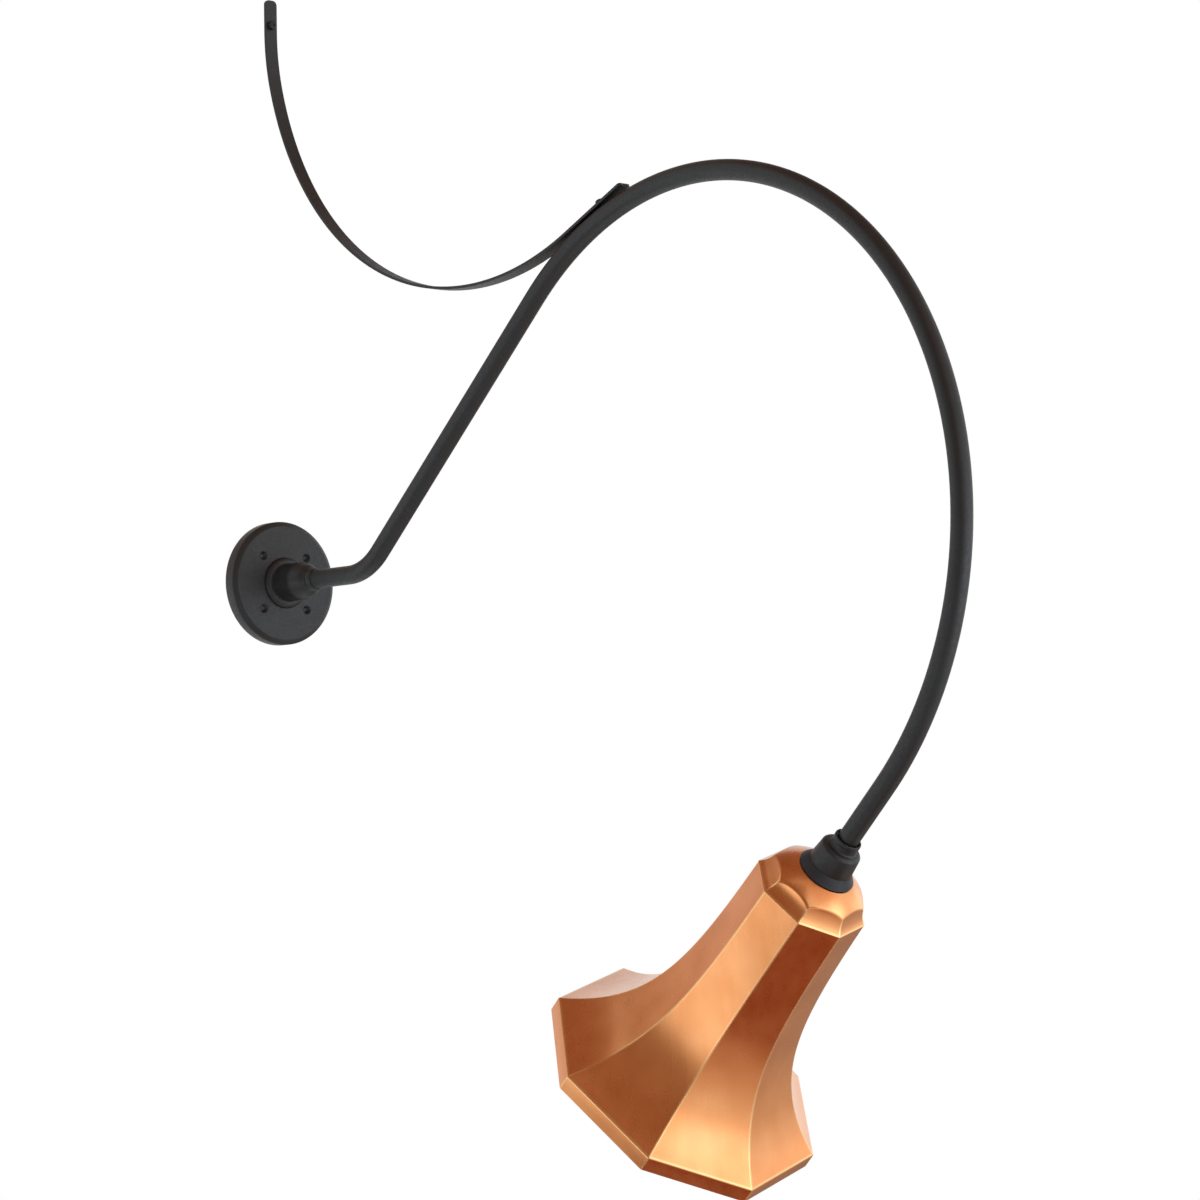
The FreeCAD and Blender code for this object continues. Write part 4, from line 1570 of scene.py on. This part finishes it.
@dataclass
class Studio:
    """A plain pale floor, soft lamps, cards that only reflections see, and a white background."""

    centre: tuple[float, float, float] = (0.0, -0.95, -0.38)
    floor_height: float = -3.2
    floor_size: float = 90.0
    floor_tone: Colour = (0.80, 0.80, 0.80)
    floor_fade: tuple[float, float] = (3.0, 9.0)
    floor_white: float = 0.82
    ambient: float = 0.45
    lamp_power: float = 4.0
    lamps: tuple[Lamp, ...] = (
        Lamp("left_softbox", -101.0, -14.0, 1.8, 1.15, (0.82, 0.95, 1.10), strength=0.38),
        Lamp("front_softbox", 21.0, 1.5, 1.9, 1.0, (1.0, 0.92, 1.04), 2.0, strength=0.68),
        Lamp("right_softbox", 84.0, 9.0, 2.2, 1.0, (1.0, 0.98, 0.96), strength=0.35),
        Lamp("top_softbox", 20.0, 78.0, 1.6, 1.6, (1.0, 1.0, 1.0), strength=0.5, mirrored=False),
        Lamp("near_softbox", 30.0, 4.0, 0.45, 0.9, (1.0, 0.94, 1.04), 1.2, strength=0.7),
    )
    cards: tuple[Card, ...] = (
        Card("camera_card", -62.0, 30.0, 4.0, 4.1, (0.34, 0.23, 0.17), 3.2, Fade.UP, (0.29, 0.13, 0.075)),
        Card("low_card", -39.0, -14.0, 3.2, 1.5, (0.23, 0.235, 0.25)),
        Card("roof_card", 140.0, 80.0, 4.4, 4.4, (0.32, 0.16, 0.10)),
        Card("brow_card", 18.0, 45.0, 2.2, 2.3, (0.92, 0.68, 0.60), 3.2, Fade.UP, (0.74, 0.46, 0.34)),
        Card("back_card", -169.0, 28.0, 2.0, 2.6, (0.74, 0.58, 0.52), 3.2, Fade.UP, (0.36, 0.24, 0.20)),
        Card("side_card", -110.0, 14.0, 1.7, 1.5, (0.30, 0.31, 0.33)),
        Card("far_card", 142.0, 26.0, 1.5, 1.7, (0.85, 0.95, 1.0), 3.2, Fade.UP, (0.66, 0.74, 0.95)),
        Card("right_card", 102.0, -30.0, 4.2, 2.5, (0.74, 0.66, 0.58), 3.2, Fade.ACROSS, (0.20, 0.10, 0.05)),
        Card("left_card", -116.0, -39.5, 2.6, 1.7, (0.26, 0.15, 0.10)),
        Card("floor_card", 4.0, -82.0, 1.7, 1.2, (0.26, 0.085, 0.045), 1.9),
        Card("step_card", 0.0, -51.5, 2.6, 1.65, (0.44, 0.22, 0.15), 2.1, Fade.UP, (0.84, 0.78, 0.76)),
    )

    @staticmethod
    def sheet(name: str, size: float, scale: tuple[float, float], matrix: Matrix) -> bpy.types.Object:
        """Builds a flat sheet that belongs to the studio.

        Args:
            name: Its name and its material's.
            size: Half the side of the square that it starts as, in metres.
            scale: How far that square is stretched, across and up.
            matrix: The move to its place.

        Returns:
            The sheet, with an empty material.
        """
        bm = bmesh.new()
        bm.loops.layers.uv.new("face")
        bmesh.ops.create_grid(bm, x_segments=1, y_segments=1, size=size, calc_uvs=True)
        bmesh.ops.scale(bm, verts=bm.verts, vec=(*scale, 1.0))
        bmesh.ops.transform(bm, matrix=matrix, verts=bm.verts)
        mesh = bpy.data.meshes.new(name)
        bm.to_mesh(mesh)
        bm.free()
        made = bpy.data.objects.new(name, mesh)
        bpy.context.scene.collection.objects.link(made)
        material = bpy.data.materials.new(name)
        material.use_nodes = True
        mesh.materials.append(material)
        return made

    def floor(self) -> None:
        """Builds the floor: pale, part of it plain white to the camera, and clear from below."""
        place = Matrix.Translation((0.0, 0.0, self.floor_height))
        floor = self.sheet("floor", self.floor_size / 2, (1.0, 1.0), place)
        nodes = Nodes(floor.data.materials[0].node_tree)
        paint = nodes.add("BsdfDiffuse", {"Color": self.floor_tone}).outputs[0]
        glow = nodes.add("Emission", {"Strength": 1.0}).outputs[0]
        clear = nodes.add("BsdfTransparent").outputs[0]
        own = nodes.add("TexCoord").outputs["Object"]
        away = nodes.add("VectorMath", {0: own}, operation="LENGTH").outputs["Value"]
        white = nodes.count("MULTIPLY", nodes.seen(), nodes.spread(away, self.floor_white, 1.0, *self.floor_fade))
        shown = nodes.add("MixShader", {0: white, 1: paint, 2: glow}).outputs[0]
        below = nodes.add("NewGeometry").outputs["Backfacing"]
        both = nodes.add("MixShader", {0: below, 1: shown, 2: clear}).outputs[0]
        nodes.add("OutputMaterial", {"Surface": both})

    def card(self, card: Card) -> None:
        """Builds a card that glows with its tone and that only reflections see: it paints a reflection into the metals
        and casts no light on matt surfaces and no shadow.

        Args:
            card: Its size, place and tone.
        """
        made = self.sheet(card.name, 0.5, (card.width, card.height), card.matrix(Vector(self.centre)))
        nodes = Nodes(made.data.materials[0].node_tree)
        tone: Value = card.tone
        if card.fade is not Fade.NONE:
            own = nodes.add("TexCoord").outputs["UV"]
            share = nodes.add("SeparateXYZ", {0: own}).outputs[card.fade.value]
            tone = nodes.blend(share, card.tone, card.end_tone)
        # The card's glowing tone is a painted reflection: only glossy rays see it.
        nodes.add("OutputMaterial", {"Surface": nodes.add("Emission", {"Color": tone}).outputs[0]})
        made.visible_camera = False
        made.visible_diffuse = False
        made.visible_shadow = False
        made.visible_transmission = False

    def lamp(self, lamp: Lamp) -> None:
        """Builds a soft lamp.

        Args:
            lamp: Its size, place, colour and strength.
        """
        light = bpy.data.lights.new(lamp.name, "AREA")
        light.shape = "RECTANGLE"
        light.size = lamp.width
        light.size_y = lamp.height
        light.color = lamp.tone
        light.energy = lamp.strength * self.lamp_power * lamp.width * lamp.height
        made = bpy.data.objects.new(lamp.name, light)
        made.matrix_world = lamp.matrix(Vector(self.centre))
        made.visible_camera = False
        made.visible_glossy = lamp.mirrored
        bpy.context.scene.collection.objects.link(made)

    def world(self) -> None:
        """Makes the background white where it is seen and softer where it only lights."""
        world = bpy.data.worlds.new("backdrop")
        bpy.context.scene.world = world
        world.use_nodes = True
        nodes = Nodes(world.node_tree)
        strength = nodes.spread(nodes.seen(), self.ambient, 1.0, 0.0, 1.0)
        glow = nodes.add("Background", {"Color": (1.0, 1.0, 1.0), "Strength": strength})
        nodes.add("OutputWorld", {"Surface": glow.outputs[0]})

    def build(self) -> None:
        """Builds the whole studio and sets the plain view transform."""
        self.world()
        self.floor()
        for lamp in self.lamps:
            self.lamp(lamp)
        for card in self.cards:
            self.card(card)
        LOG.info("studio: %d lamps and %d cards", len(self.lamps), len(self.cards))
        bpy.context.scene.view_settings.view_transform = "Standard"


@dataclass(frozen=True)
class Camera:
    """The photograph's point of view, in millimetres, degrees and pixels of a 1200-pixel frame."""

    place: tuple[float, float, float] = (-2126.0, -2961.0, -297.0)
    yaw: float = -40.72
    pitch: float = -4.23
    roll: float = -1.04
    focal: float = 3529.0
    centre: tuple[float, float] = (587.0, 606.0)
    frame_size: float = 1200.0
    sensor: float = 36.0
    clip: tuple[float, float] = (0.05, 300.0)

    def build(self) -> None:
        """Builds the camera and makes it the scene's."""
        yaw, pitch, roll = (math.radians(a) for a in (self.yaw, self.pitch, self.roll))
        back = Vector((math.sin(yaw) * math.cos(pitch), -math.cos(yaw) * math.cos(pitch), math.sin(pitch)))
        right = Vector((math.cos(yaw), math.sin(yaw), 0.0))
        up = back.cross(right)
        across = math.cos(roll) * right + math.sin(roll) * up
        upward = -math.sin(roll) * right + math.cos(roll) * up
        data = bpy.data.cameras.new("camera")
        data.sensor_width = self.sensor
        data.lens = self.focal / self.frame_size * self.sensor
        data.shift_x = (self.frame_size / 2 - self.centre[0]) / self.frame_size
        data.shift_y = (self.centre[1] - self.frame_size / 2) / self.frame_size
        data.clip_start, data.clip_end = self.clip
        camera = bpy.data.objects.new("camera", data)
        turn = Matrix((across, upward, back)).transposed().to_4x4()
        camera.matrix_world = Matrix.Translation(Vector(self.place) * MM) @ turn
        bpy.context.scene.collection.objects.link(camera)
        bpy.context.scene.camera = camera


def main() -> None:
    """Builds the light piece by piece, the studio and the camera."""
    logging.basicConfig(level=logging.INFO, format="%(name)s %(message)s")
    arm = Arm()
    head = arm.head().matrix()
    arm.build()
    WallPlate().build(arm)
    Strap().build(arm)
    Fitter().build(head)
    Crown().build(head)
    Panels().build(head)
    Lampholder().build(head)
    CarriedNodes().dress()
    Studio().build()
    Camera().build()


if __name__ == "__main__":
    main()
